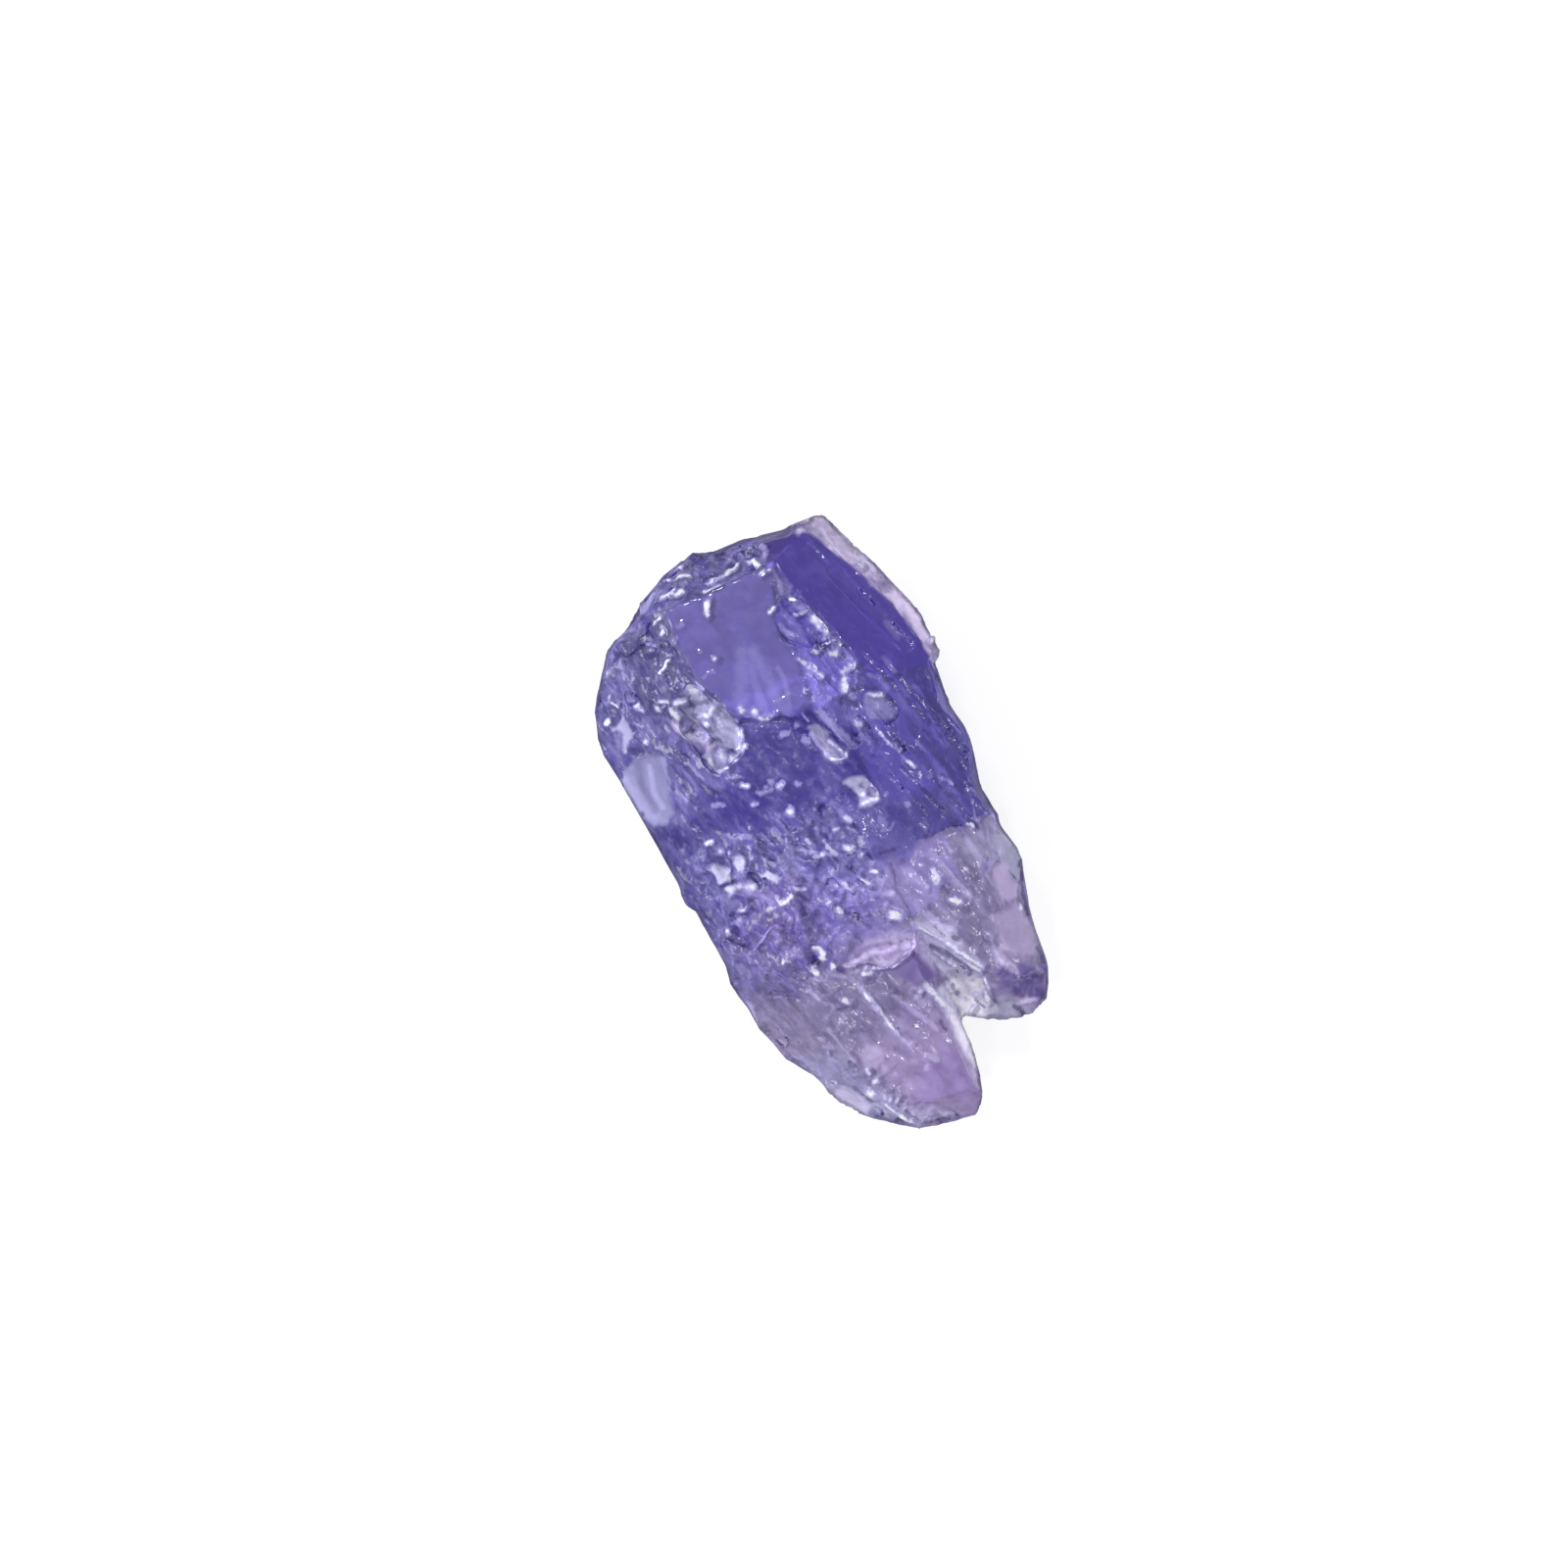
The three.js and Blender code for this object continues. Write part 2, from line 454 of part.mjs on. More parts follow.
// A ridge like a low roof, its ends running out to nothing.
function ridge(meet, { from, to, width, height }) {
  const [start, end] = [new THREE.Vector2(...from), new THREE.Vector2(...to)];
  const side = end.clone().sub(start).normalize().rotateAround(new THREE.Vector2(), Math.PI / 2);
  const points = [];
  for (const [along, out, up] of [
    [0, 0, 0], [0.2, -1, -0.3], [0.2, 1, -0.3], [0.3, 0, 1],
    [0.75, 0, 1], [0.85, -1, -0.3], [0.85, 1, -0.3], [1, 0, 0], [0.1, 0, -2], [0.9, 0, -2],
  ]) {
    const foot = start.clone().lerp(end, along);
    const { x, y } = foot.clone().addScaledVector(side, (out * width) / 2);
    points.push(new THREE.Vector3(x, y, heightOf(meet, foot.x, foot.y) + up * height));
  }
  return solidOf(new ConvexGeometry(points));
}

// ---- Assembly ----

const block = (points) => prism(points, wayDown, wayUp);

// A thin plate over an outline, under a top through three points.
function plate(points, top, thickness) {
  const height = planeHeight(top);
  return prism(points, (x, y) => height(x, y) - thickness, height);
}

const body = facet(block(bodyOutline), middle, bodyFaces);
const leftLobe = facet(block(leftLobeOutline), [-0.8, -4, 2.4], leftLobeFaces);
const rightLobe = facet(block(rightLobeOutline), [2.5, -3, 2.4], rightLobeFaces);
const wing = plate(wingOutline, wingTop, wingThickness);
const web = plate(webOutline, webTop, webThickness);

let stone = wasm.Manifold.union([body, leftLobe, rightLobe, wing, web]);
stone = stone.intersect(brokenWall(randomFrom(7)));
stone = facet(stone, middle, backFaces);
stone = stone.subtract(wasm.Manifold.union(
  Object.values(frontSteps).map((step) => prism(step.outline, planeHeight(step.floor), wayUp))));
stone = stone.subtract(wasm.Manifold.union(
  Object.values(backSteps).map((step) => prism(step.outline, wayDown, planeHeight(step.ceiling)))));

// The marks along the grain.
let meet = surfaceOf(stone);
const cuts = stubs.map(({ start, length, width, depth }) =>
  pocket(meet, strip(start, length, width, grain), [0, depth, depth]));
for (const { x, top, bottom, width, depth } of striations) {
  const length = (top - bottom) / Math.cos(grainLean);
  cuts.push(pocket(meet, strip([x, top], length, width, grain), [depth, depth, 0]));
}
const raised = ridges.map((each) => ridge(meet, each));
stone = stone.subtract(wasm.Manifold.union(cuts)).add(wasm.Manifold.union(raised));

// The chips of the front.
const random = randomFrom(20);
meet = surfaceOf(stone);
const broken = [];
for (const patch of chippedPatches) {
  for (let i = 0; i < patch.chips; i++) {
    const from = new THREE.Vector3(between(random, ...patch.x), between(random, ...patch.y), farOut);
    const hit = meet(from, down);
    if (hit) broken.push(chip(hit, patch, random));
  }
}

// The chips of the sides and the back, clear of the flat spot.
for (let i = 0; i < sideChips.chips; i++) {
  const angle = between(random, 0, 2 * Math.PI);
  const out = new THREE.Vector3(Math.cos(angle), Math.sin(angle), 0);
  const along = new THREE.Vector3(0, between(random, -6, 6), between(random, 1.2, 4.2));
  const hit = meet(along.clone().addScaledVector(out, farOut), out.clone().negate());
  if (hit) broken.push(chip(hit, sideChips, random));
}
for (let i = 0; i < backChips.chips; i++) {
  const from = new THREE.Vector3(between(random, -3.8, 3.8), between(random, -7, 7), -farOut);
  const hit = meet(from, down.clone().negate());
  if (hit && hit.point.z > 0.3) broken.push(chip(hit, backChips, random));
}
stone = stone.subtract(wasm.Manifold.union(broken)).simplify(5 * weldDistance);

// Slivers close up where their corners are welded, and the crumbs that this leaves are dropped.
stone = solidOf(geometryOf(stone)).decompose().reduce((most, piece) =>
  piece.volume() > most.volume() ? piece : most);

// ---- The part ----

const geometry = geometryOf(stone);
geometry.computeBoundingBox();
const { min, max } = geometry.boundingBox;
geometry.translate(-(min.x + max.x) / 2, -(min.y + max.y) / 2, -min.z);

const tanzanite = new THREE.MeshStandardMaterial({ color: 0x6552a8, roughness: 0.25, metalness: 0 });
const crystal = new THREE.Mesh(geometry, tanzanite);
crystal.name = "crystal";

const part = new THREE.Group();
part.add(crystal);
export default part;
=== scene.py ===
import itertools
import math

import bmesh
import bpy
import numpy as np
from mathutils import Matrix, Vector
from mathutils.kdtree import KDTree


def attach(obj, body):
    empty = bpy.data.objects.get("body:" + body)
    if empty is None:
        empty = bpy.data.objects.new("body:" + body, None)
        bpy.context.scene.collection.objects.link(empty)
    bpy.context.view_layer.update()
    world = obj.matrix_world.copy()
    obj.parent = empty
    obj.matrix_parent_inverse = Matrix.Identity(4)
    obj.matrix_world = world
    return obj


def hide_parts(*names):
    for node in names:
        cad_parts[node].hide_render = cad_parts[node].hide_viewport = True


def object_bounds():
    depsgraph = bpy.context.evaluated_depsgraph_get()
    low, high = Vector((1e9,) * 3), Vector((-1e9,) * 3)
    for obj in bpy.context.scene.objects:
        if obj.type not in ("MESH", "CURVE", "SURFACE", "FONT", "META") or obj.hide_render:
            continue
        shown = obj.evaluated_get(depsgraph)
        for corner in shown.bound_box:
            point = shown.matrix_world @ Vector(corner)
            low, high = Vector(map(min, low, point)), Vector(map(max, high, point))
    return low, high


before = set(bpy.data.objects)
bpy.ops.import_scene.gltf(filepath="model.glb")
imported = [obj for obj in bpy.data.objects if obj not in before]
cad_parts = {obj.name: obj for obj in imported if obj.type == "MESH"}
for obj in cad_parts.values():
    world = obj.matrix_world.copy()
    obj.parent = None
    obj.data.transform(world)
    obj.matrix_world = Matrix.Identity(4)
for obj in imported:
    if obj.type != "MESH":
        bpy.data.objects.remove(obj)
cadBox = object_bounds()
mm = 0.001

# The crystal is worked in millimetres, in the frame of the part: +Y runs to its bevelled end, +Z up through
# its front. A pair whose name ends in Fade says where something starts and where it is full, and one that
# ends in End where it starts to fall and where it is gone.
crystal = {
    "voxel": 0.102,                 # faces of the back and sides, halved on the front
    "frontSlope": 0.3,              # faces that look up more than this are halved
    "grainLean": 20,                # degrees from -Y towards +X

    "coarseScoop": 0.6,             # width of the large scoops of the fracture
    "coarseShare": 0.6,
    "fineScoop": 0.26,              # width of the small ones
    "scoopDepth": 1.5,              # how deep a scoop is for its width
    "scoopTilt": 0.9,               # how steeply they lean
    "scoopSpread": 0.4,             # how unevenly deep they lie
    "scoopSink": 0.3,               # how far they are all sunk into the solid
    "grainStretch": 2.2,            # scoops are drawn out along the grain
    "hacklyStretch": 1.2,           # and less so in the hackly part
    "carveSpan": (-0.3, 0.05),      # furthest in and furthest out
    "restFade": (0.12, 0.37),       # height over the flat spot, which stays untouched
    "edgeFade": (0.1, 0.4),         # tilt from upright, so that the outline stays clean
    "edgeCarve": 0.15,              # share of the scoops that the outline keeps
    "striation": 0.022,             # how deep the fine lines of the striated faces are
    "prismStriation": 0.15,         # share of the striations on the prism face
    "streakSqueeze": (1, 0.06, 0.3),            # across the grain, along it and up
    "ripple": 0.01,                 # a slight unevenness of all faces
    "rippleFade": (0, 0.3),         # height over the flat spot
    "ridgeHeight": 0.03, "paleRidge": 0.5, "crackDepth": 0.04, "ridgeFade": (0.58, 0.86),
    "wingSwell": 0.05,              # how far the wing stands out
    "rounding": 0.03,               # how far the ledges of the trough are rounded
    "wearRounds": 500,              # rounds that wear ledges down
    "softenStep": 0.7,              # how far a point moves in a round
    "floorHeight": 3.5,             # only ledges above this are worn down

    # each layer of noise has a size in millimetres, a seed and a share
    "shakeNoise": ((0.3, 31, 1), (0.12, 32, 0.7)),
    "fibreNoise": ((0.16, 11, 0.6), (0.08, 12, 0.4)),
    "rippleNoise": ((0.9, 21, 0.6), (0.3, 22, 0.4)),
    "rimNoise": ((0.8, 61, 0.5),),
    "fractureSeed": 40, "hacklySeed": 80, "strokeSeed": 71,

    "edgeShake": 0.04,              # how far outlines of patches wander
    "softShake": 6,                 # and how much more where they are soft
    "edgeSoft": 0.09,               # how far an outline fades where its patch doesn't say
    "strokeShake": 0.6,             # share of the wander that strokes take
    "strokeReach": (1.35, 2.16),    # a stroke has faded out at its width times a number between these
    "shadeShift": (0.06, -0.06),    # from a bright ridge to its painted shadow
    "planCell": 0.16,               # cells that tell where the crystal ends, seen from above
    "rimEnd": (0.0385, 0.0935),     # millimetres from the outline, over which its painted dark line of shade ends
    "rimStrength": 0.85,
    "rimFacing": -0.25,             # faces that look down more than this have none of it

    "haze": 0.45,                   # share of the surface that is milky where no patch says otherwise
    "rough": 0.5,                   # how broken the surface is there
    "backRough": 0.8,               # and on the back
    "lobeFade": (2.0, 3.5),         # millimetres from the middle to where the lobes have their own colour
    "wallBlend": 4,                 # rounds that even out the change from the front to the walls
    "wallShade": 0.35,               # how much darker the steep walls are painted, as painted shade
    "wallGap": 0.12,                # patches end this far before a steep wall between two of them
    # how far a face looks up, from -1 to 1
    "wallEnd": (0.125, 0.375),      # up or down
    "frontFade": (0.05, 0.3),
    "seenFade": (-0.12, 0.18),
    "innerFade": (-0.25, -0.1),
    "sideFade": (-0.12, -0.02),
    # thin and steep places are milkier
    "thinHaze": 0.85,
    "thinEnd": (3.8, 4.6), "thinFade": (-1.5, -0.9),
    "steepFrontEnd": (0.15, 0.4), "steepBackEnd": (0.375, 1.0),

    # ledges inside these outlines are worn down
    "evenGround": [[(-2.4, 1.7), (-1.0, 1.9), (0.7, 1.7), (1.1, 0.4), (0.6, -0.3), (-1.5, -0.2), (-2.4, 0.4)],
                   [(0.0, 3.4), (0.7, 3.5), (1.1, 3.1), (1.1, 2.5), (0.4, 2.6)],
                   [(0.9, -0.7), (2.0, -0.7), (1.8, -1.4), (1.2, -1.9), (0.8, -1.4)]],
    "evenSoft": 0.4, "troughSoft": 0.3, "innerSoft": 0.2,
}

tanzanite = {
    "ior": 1.695,
    "absorption": (0.14, 0.0, 0.655), "density": 340.0,    # per metre
    "body": (0.105, 0.084, 0.39, 1),
    "dusk": (0.03, 0.017, 0.2, 1),          # the darker ground of the middle and the left flank
    "deep": (0.069, 0.025, 0.47, 1),
    "indigo": (0.049, 0.025, 0.34, 1),
    "night": (0.04, 0.022, 0.175, 1),
    "violet": (0.24, 0.18, 0.58, 1),
    "lavender": (0.21, 0.158, 0.63, 1),
    "slate": (0.155, 0.145, 0.33, 1),
    "fan": (0.2, 0.155, 0.68, 1),
    "lilac": (0.358, 0.292, 0.517, 1),
    "pink": (0.47, 0.36, 0.65, 1),
    "purple": (0.2, 0.12, 0.42, 1),
    "plum": (0.1, 0.05, 0.3, 1),
    "mauve": (0.34, 0.22, 0.53, 1),
    # added along pale strokes: lighter streaks, and weaker painted highlights
    "mist": (0.6, 0.55, 0.8, 1),
    # on the pale facet, a painted reflection
    "pale": (0.35, 0.335, 0.6, 1),
    # grey-white; in the trough it is a painted reflection
    "silver": (0.5, 0.49, 0.68, 1),
    "rim": (0.85, 0.72, 0.97, 1),
    "blush": (0.62, 0.5, 0.78, 1),
    "frost": (0.68, 0.65, 0.82, 1),
    "ice": (0.96, 0.92, 1.0, 1),
    "glow": (0.66, 0.63, 0.98, 1),
    "lift": (0.24, 0.22, 0.34, 1),          # added where the surface is lighter than its ground
    "gloom": (0.3, 0.26, 0.42, 1),          # multiplied where it is darker
    # painted highlights: sheen around the glints, the glints and chips, and the pure white cores
    "sheen": (0.48, 0.43, 0.85, 1),
    "bright": (0.75, 0.72, 0.97, 1),
    "spark": (1.0, 1.0, 1.0, 1),
    # painted into dark strokes, which are cracks and painted shade, and into the painted shadow beside bright
    # ridges
    "crackAndShade": (0.025, 0.012, 0.13, 1),
    "edge": (0.03, 0.02, 0.1, 1),           # the painted dark line of shade along the outline
    "clearness": 0.25,                      # the power that turns a colour into the tint of the clear part
    "clearRough": (0.08, 0.2, 0.35),        # polished, added where broken, added on the back
    "milkyRough": 0.35, "milkyClear": 0.3, "milkyGloss": 0.3,
    "matteRough": 0.6, "matteGloss": 0.1,
    "bumpStrength": 0.6, "bumpDepth": 0.03, "bumpLeast": 0.1,

    # noise: how far it is drawn out along the grain, its scale per millimetre and its detail
    "noises": {"grit": (1.3, 6.5, 3.0), "speckle": (1.7, 5.0, 4.0), "clusters": (2.2, 1.4, 2.0),
               "clouds": (1.6, 1.9, 2.0), "fibres": (8.0, 3.0, 2.0)},
    "noiseRoughness": 0.6,
    "grounds": {"fibres": 0.3, "clouds": 0.7, "mottle": 1.1},       # how strongly each noise shows
    "groundFade": (0.5, 0.68),
    "contrast": (0.07, 0.95),               # of smooth faces, and added where broken

    # strokes: how frayed, where on their mask they start and are full, share, colour and way of mixing
    "paint": {
        "ray": (0.2, (0.45, 0.95), 0.7, "lift", "ADD"),
        "dim": (0.2, (0.45, 0.95), 0.45, "gloom", "MULTIPLY"),
        # dark strokes are cracks with painted shade; shaded is the painted shadow beside bright ridges
        "dark": (0.4, (0.6, 0.85), 0.65, "crackAndShade", "MIX"),
        "shaded": (0.4, (0.2, 0.7), 0.5, "crackAndShade", "MIX"),
        # bright strokes are painted highlights, with a painted sheen at their edge
        "bright": (0.4, (0.45, 0.66), 0.6, "sheen", "MIX"),
        "pale": (0.4, (0.5, 0.9), 0.38, "mist", "ADD"),
    },
    "frayed": ("bright", "pale", "dark"), "frayFade": (0.3, 0.5),   # these fray only close to their line
    "shardFray": 0.5, "gritFray": 0.7,
    # painted highlights: white glints along bright strokes, with pure white sparks at their cores
    "glintFade": (0.66, 0.8), "spotShare": 0.3,
    "glintSpots": {"clusters": (0.35, 0.6), "mottle": (0.4, 0.6)},
    "sparkFade": (0.8, 0.93), "sparkGrit": (0.3, 0.45),
    "outlineShadeShare": 0.85, "darkCover": 0.6,     # how far dark strokes hide the clear part

    "facetSize": 0.34, "facetTilt": 0.5, "facetStretch": 2.2,       # sizes in mm
    # chips are painted glints: small white specks on broken faces
    "chipSize": 0.13, "chipStretch": 1.6, "chipReach": 0.6, "chipShare": 0.7,
    "shardSize": 0.07, "shardStretch": 1.3,
    "chipFade": {"chance": (0.86, 0.94), "edge": (0.0, 0.12), "clusters": (0.48, 0.58), "broken": (0.3, 0.9)},
}

# The patches of the front, painted one over the other: outline, colour of `tanzanite` and its share,
# how hazy, broken and matte the surface is, and how many millimetres its edge fades over.
patches = {
    "shoulder": {"colour": "dusk", "share": 0.25, "broken": 0.55, "soft": 0.5, "outline": [
        (-4.3, 4.2), (-3.8, 5.6), (-3.0, 6.4), (-1.7, 6.6), (-1.5, 5.8), (-1.6, 5.0), (-2.1, 4.6),
        (-2.6, 3.9)]},
    "leftFlank": {"colour": "dusk", "haze": 0.8, "broken": 0.25, "matte": 0.3, "soft": 0.6, "outline": [
        (-4.3, 2.1), (-3.3, 2.0), (-2.5, 2.3), (-1.6, 2.4), (-1.3, 1.2), (-1.5, 0.7), (-2.4, 1.0),
        (-3.5, 1.0), (-4.3, 0.6)]},
    "leftEdge": {"colour": "dusk", "share": 0.6, "haze": 0.85, "broken": 0.5, "soft": 0.3, "outline": [
        (-4.6, 1.2), (-3.5, 1.0), (-3.3, -0.5), (-3.2, -2.8), (-4.3, -2.9)]},
    "middle": {"colour": "dusk", "haze": 0.95, "broken": 0.15, "matte": 0.4, "soft": 0.5, "outline": [
        (-1.5, 2.6), (-0.95, 3.3), (-0.1, 3.1), (0.7, 3.2), (1.2, 2.7), (1.6, 1.5), (1.3, 0.2), (0.6, 0.6),
        (-0.8, 0.8), (-1.6, 1.4)]},
    "hackly": {"colour": "body", "share": 0.6, "haze": 0.5, "broken": 1.0, "soft": 0.4, "outline": [
        (-3.4, 0.8), (-2.9, 1.15), (-2.3, 1.0), (-1.9, 0.6), (-1.3, 0.35), (-0.8, 0.6), (0.3, 0.9),
        (0.6, 0.2), (0.7, -1.0), (0.9, -2.3), (-0.6, -1.7), (-1.2, -2.9), (-1.9, -3.0), (-2.4, -1.5),
        (-3.3, -1.1), (-3.3, -0.2)]},
    "lowHackly": {"colour": "violet", "broken": 0.8, "soft": 0.6, "outline": [
        (-3.3, -1.2), (-2.0, -0.8), (-0.5, -0.7), (0.2, -1.2), (0.5, -2.2), (-0.6, -2.3), (-1.2, -2.6),
        (-2.4, -2.5), (-3.4, -2.3)]},
    "lilacVeil": {"colour": "mauve", "share": 0.35, "broken": 0.8, "soft": 0.5, "outline": [
        (-2.6, -0.2), (-1.9, -0.5), (-1.2, -0.6), (-1.0, -1.0), (-1.6, -1.3), (-1.9, -2.0), (-1.2, -2.2),
        (-1.1, -2.9), (-2.0, -2.9), (-2.6, -1.8), (-2.4, -0.9)]},
    "greyVeil": {"colour": "slate", "share": 0.5, "haze": 0.7, "broken": 0.9, "soft": 0.4, "outline": [
        (-2.8, 0.4), (-1.8, 0.6), (-0.9, 0.5), (0.3, 0.7), (0.6, 0.2), (0.5, -0.3), (0.6, -1.1),
        (0.2, -1.3), (-0.4, -0.9), (-1.2, -0.2), (-2.0, 0.0)]},
    "hacklyShade": {"colour": "dusk", "share": 0.55, "haze": 0.6, "broken": 0.8, "soft": 0.3, "outline": [
        (-1.7, 0.75), (-0.85, 0.65), (-0.75, -0.05), (-1.2, -0.3), (-1.65, 0.1)]},
    "flankShade": {"colour": "dusk", "share": 0.5, "haze": 0.6, "broken": 0.45, "soft": 0.4, "outline": [
        [(-3.1, 3.1), (-2.5, 3.3), (-2.1, 2.9), (-1.7, 2.3), (-2.4, 2.2), (-3.0, 2.3)],
        [(-3.3, 1.3), (-2.2, 1.3), (-2.3, 0.8), (-3.2, 0.8)]]},
    "smoky": {"colour": "lilac", "share": 0.9, "haze": 0.6, "broken": 0.5, "soft": 0.5, "outline": [
        (0.5, -1.3), (1.2, -1.1), (1.5, -1.7), (1.2, -2.6), (0.5, -2.5), (0.3, -1.9)]},
    "underSwirl": {"colour": "dusk", "share": 0.9, "broken": 0.3, "soft": 0.3, "outline": [
        (0.55, 0.3), (1.5, 0.3), (1.8, -0.9), (1.2, -1.1), (0.6, -0.9)]},
    "greySwirl": {"colour": "dusk", "share": 0.4, "haze": 0.8, "broken": 0.8, "soft": 0.2, "outline": [
        (-0.75, 0.65), (0.2, 0.62), (0.5, 0.2), (0.5, -0.3), (0.1, -0.55), (-0.5, -0.3), (-0.8, 0.05)]},
    "endBevel": {"colour": "body", "haze": 0.7, "broken": 0.6, "outline": [
        (-2.9, 6.5), (-1.6, 6.65), (1.35, 6.58), (1.4, 7.5), (-0.3, 7.8), (-2.2, 7.1)]},
    "prismFace": {"colour": "deep", "haze": 0.55, "broken": 0.02, "outline": [
        (1.4, 7.9), (1.42, 6.8), (1.3, 6.45), (1.42, 6.0), (1.58, 5.5), (1.8, 5.05), (1.95, 4.5),
        (2.05, 4.1), (2.2, 3.7), (2.3, 3.2), (2.75, 2.9), (3.2, 2.4), (3.98, 2.75), (3.9, 3.4), (3.7, 4.1),
        (3.4, 4.85), (3.15, 5.6), (2.85, 6.2), (2.65, 6.6), (2.45, 6.85), (2.1, 7.25), (2.2, 7.9)]},
    "corner": {"colour": "night", "haze": 0.9, "broken": 0.02, "matte": 0.9, "soft": 0.1, "outline": [
        (1.2, 6.5), (1.4, 6.6), (2.0, 6.84), (2.3, 6.98), (2.35, 7.2), (2.3, 7.9), (1.15, 7.9),
        (1.2, 7.2)]},
    "striatedFace": {"colour": "indigo", "haze": 0.6, "broken": 0.22, "soft": 0.15, "outline": [
        (2.2, 3.3), (2.8, 2.9), (3.98, 2.8), (4.6, 2.6), (4.6, -0.9), (3.8, -1.0), (3.0, -1.1), (2.5, -1.0),
        (1.9, -0.97), (1.75, -0.4), (1.5, 0.2), (1.5, 1.2), (1.8, 2.4)]},
    "striatedFoot": {"colour": "dusk", "haze": 0.85, "broken": 0.2, "soft": 0.3, "outline": [
        (1.4, 0.1), (2.3, 0.2), (2.9, -0.2), (3.0, -1.05), (1.9, -0.97), (1.6, -0.6)]},
    "chips": {"colour": "fan", "haze": 0.72, "broken": 0.6, "outline": [
        (0.8, 5.6), (1.5, 5.6), (1.85, 4.8), (2.2, 3.7), (2.0, 3.0), (0.8, 2.9), (1.0, 4.2)]},
    "wing": {"colour": "rim", "haze": 0.85, "broken": 0.5, "outline": [
        (2.05, 7.25), (2.14, 7.1), (2.28, 6.95), (2.45, 6.88), (2.6, 6.7), (2.68, 6.45), (2.8, 6.24),
        (2.9, 6.0), (3.08, 5.8), (3.17, 5.5), (3.27, 5.3), (3.3, 5.1), (3.42, 4.95), (3.55, 4.6),
        (3.73, 4.03), (3.87, 3.66), (3.9, 3.23), (3.97, 2.7), (4.9, 3.0), (4.9, 3.9), (3.3, 8.0),
        (2.0, 8.0)]},
    "wingTop": {"colour": "lilac", "share": 0.9, "haze": 0.8, "broken": 0.5, "soft": 0.2, "outline": [
        [(2.05, 7.24), (2.2, 7.0), (2.5, 6.85), (2.66, 6.6), (2.72, 6.85), (2.5, 7.15), (2.3, 7.25)],
        [(3.95, 3.35), (4.15, 3.2), (4.2, 3.0), (4.1, 2.9), (3.98, 3.0)]]},
    "wingBand": {"colour": "purple", "share": 0.75, "haze": 0.8, "broken": 0.3, "soft": 0.2, "outline": [
        [(3.2, 5.45), (3.45, 5.35), (3.7, 5.15), (3.8, 4.95), (3.55, 5.0), (3.3, 5.15)],
        [(3.05, 5.8), (3.2, 5.72), (3.3, 5.5), (3.15, 5.55)]]},
    "wingLow": {"colour": "rim", "share": 0.95, "haze": 0.95, "broken": 0.15, "matte": 0.8, "soft": 0.12,
        "outline": [
            (3.5, 4.85), (3.8, 4.9), (4.05, 4.4), (4.3, 3.8), (4.35, 3.35), (4.1, 3.32), (3.94, 3.5),
            (3.77, 4.1)]},
    "window": {"colour": "lavender", "haze": 0.45, "broken": 0.03, "outline": [
        (-1.55, 6.6), (1.3, 6.55), (1.2, 5.9), (0.8, 5.5), (0.8, 4.9), (0.95, 4.2), (0.7, 3.2),
        (0.15, 3.03), (-0.1, 3.15), (-0.3, 3.1), (-0.5, 3.2), (-0.6, 3.38), (-0.88, 3.55), (-1.05, 3.95),
        (-1.5, 4.7)]},
    "windowFan": {"colour": "fan", "share": 0.8, "broken": 0.05, "soft": 0.5, "outline": [
        (-0.3, 5.1), (0.1, 5.1), (0.3, 4.2), (0.3, 3.2), (-0.5, 3.2), (-1.0, 3.7), (-0.9, 4.1),
        (-0.6, 4.6)]},
    # the pale tone of this facet is a painted reflection
    "paleFacet": {"colour": "pale", "share": 0.8, "haze": 0.85, "broken": 0.06, "outline": [
        (-4.02, 3.5), (-3.6, 3.62), (-3.0, 3.52), (-2.97, 3.2), (-3.1, 2.8), (-3.25, 2.3), (-3.35, 2.05),
        (-3.55, 1.9), (-3.9, 1.95), (-4.05, 2.2), (-4.2, 2.8), (-4.2, 3.3)]},
    # the silver-white of the trough is a painted reflection
    "trough": {"colour": "silver", "share": 0.85, "haze": 0.8, "broken": 1.0, "outline": [
        (-2.2, 4.5), (-1.72, 4.66), (-1.5, 4.4), (-1.3, 4.08), (-1.08, 3.7), (-0.98, 3.2), (-1.15, 2.72),
        (-1.5, 2.6), (-1.9, 2.52), (-2.02, 2.9), (-2.0, 3.25), (-2.35, 3.7), (-2.45, 4.1)]},
    "troughSilver": {"colour": "silver", "haze": 0.8, "broken": 0.6, "outline": [
        (-1.45, 3.95), (-1.15, 3.7), (-1.0, 3.25), (-1.15, 2.85), (-1.45, 2.95), (-1.62, 3.3),
        (-1.65, 3.6)]},
    "rightLobe": {"colour": "lilac", "haze": 0.55, "broken": 0.4, "soft": 0.2, "outline": [
        (0.9, -1.9), (1.3, -1.35), (1.9, -0.98), (2.5, -1.0), (3.0, -1.1), (4.2, -1.15), (4.1, -6.4),
        (1.95, -6.2), (1.95, -4.5), (1.0, -3.2)]},
    "lobeShoulder": {"colour": "silver", "share": 0.5, "haze": 0.7, "broken": 0.3, "soft": 0.3, "outline": [
        (2.6, -1.25), (3.4, -1.2), (3.75, -1.6), (3.4, -2.2), (3.0, -2.0), (2.6, -1.7)]},
    "leftLobe": {"colour": "lilac", "haze": 0.55, "broken": 0.45, "soft": 0.8, "outline": [
        (-4.2, -2.9), (-2.5, -3.3), (-1.3, -2.9), (-0.8, -2.5), (0.2, -2.35), (0.9, -2.4), (1.05, -3.4),
        (1.3, -8.4), (-3.8, -8.4)]},
    "lobeShade": {"colour": "dusk", "share": 0.5, "haze": 0.7, "broken": 0.4, "soft": 0.3, "outline": [
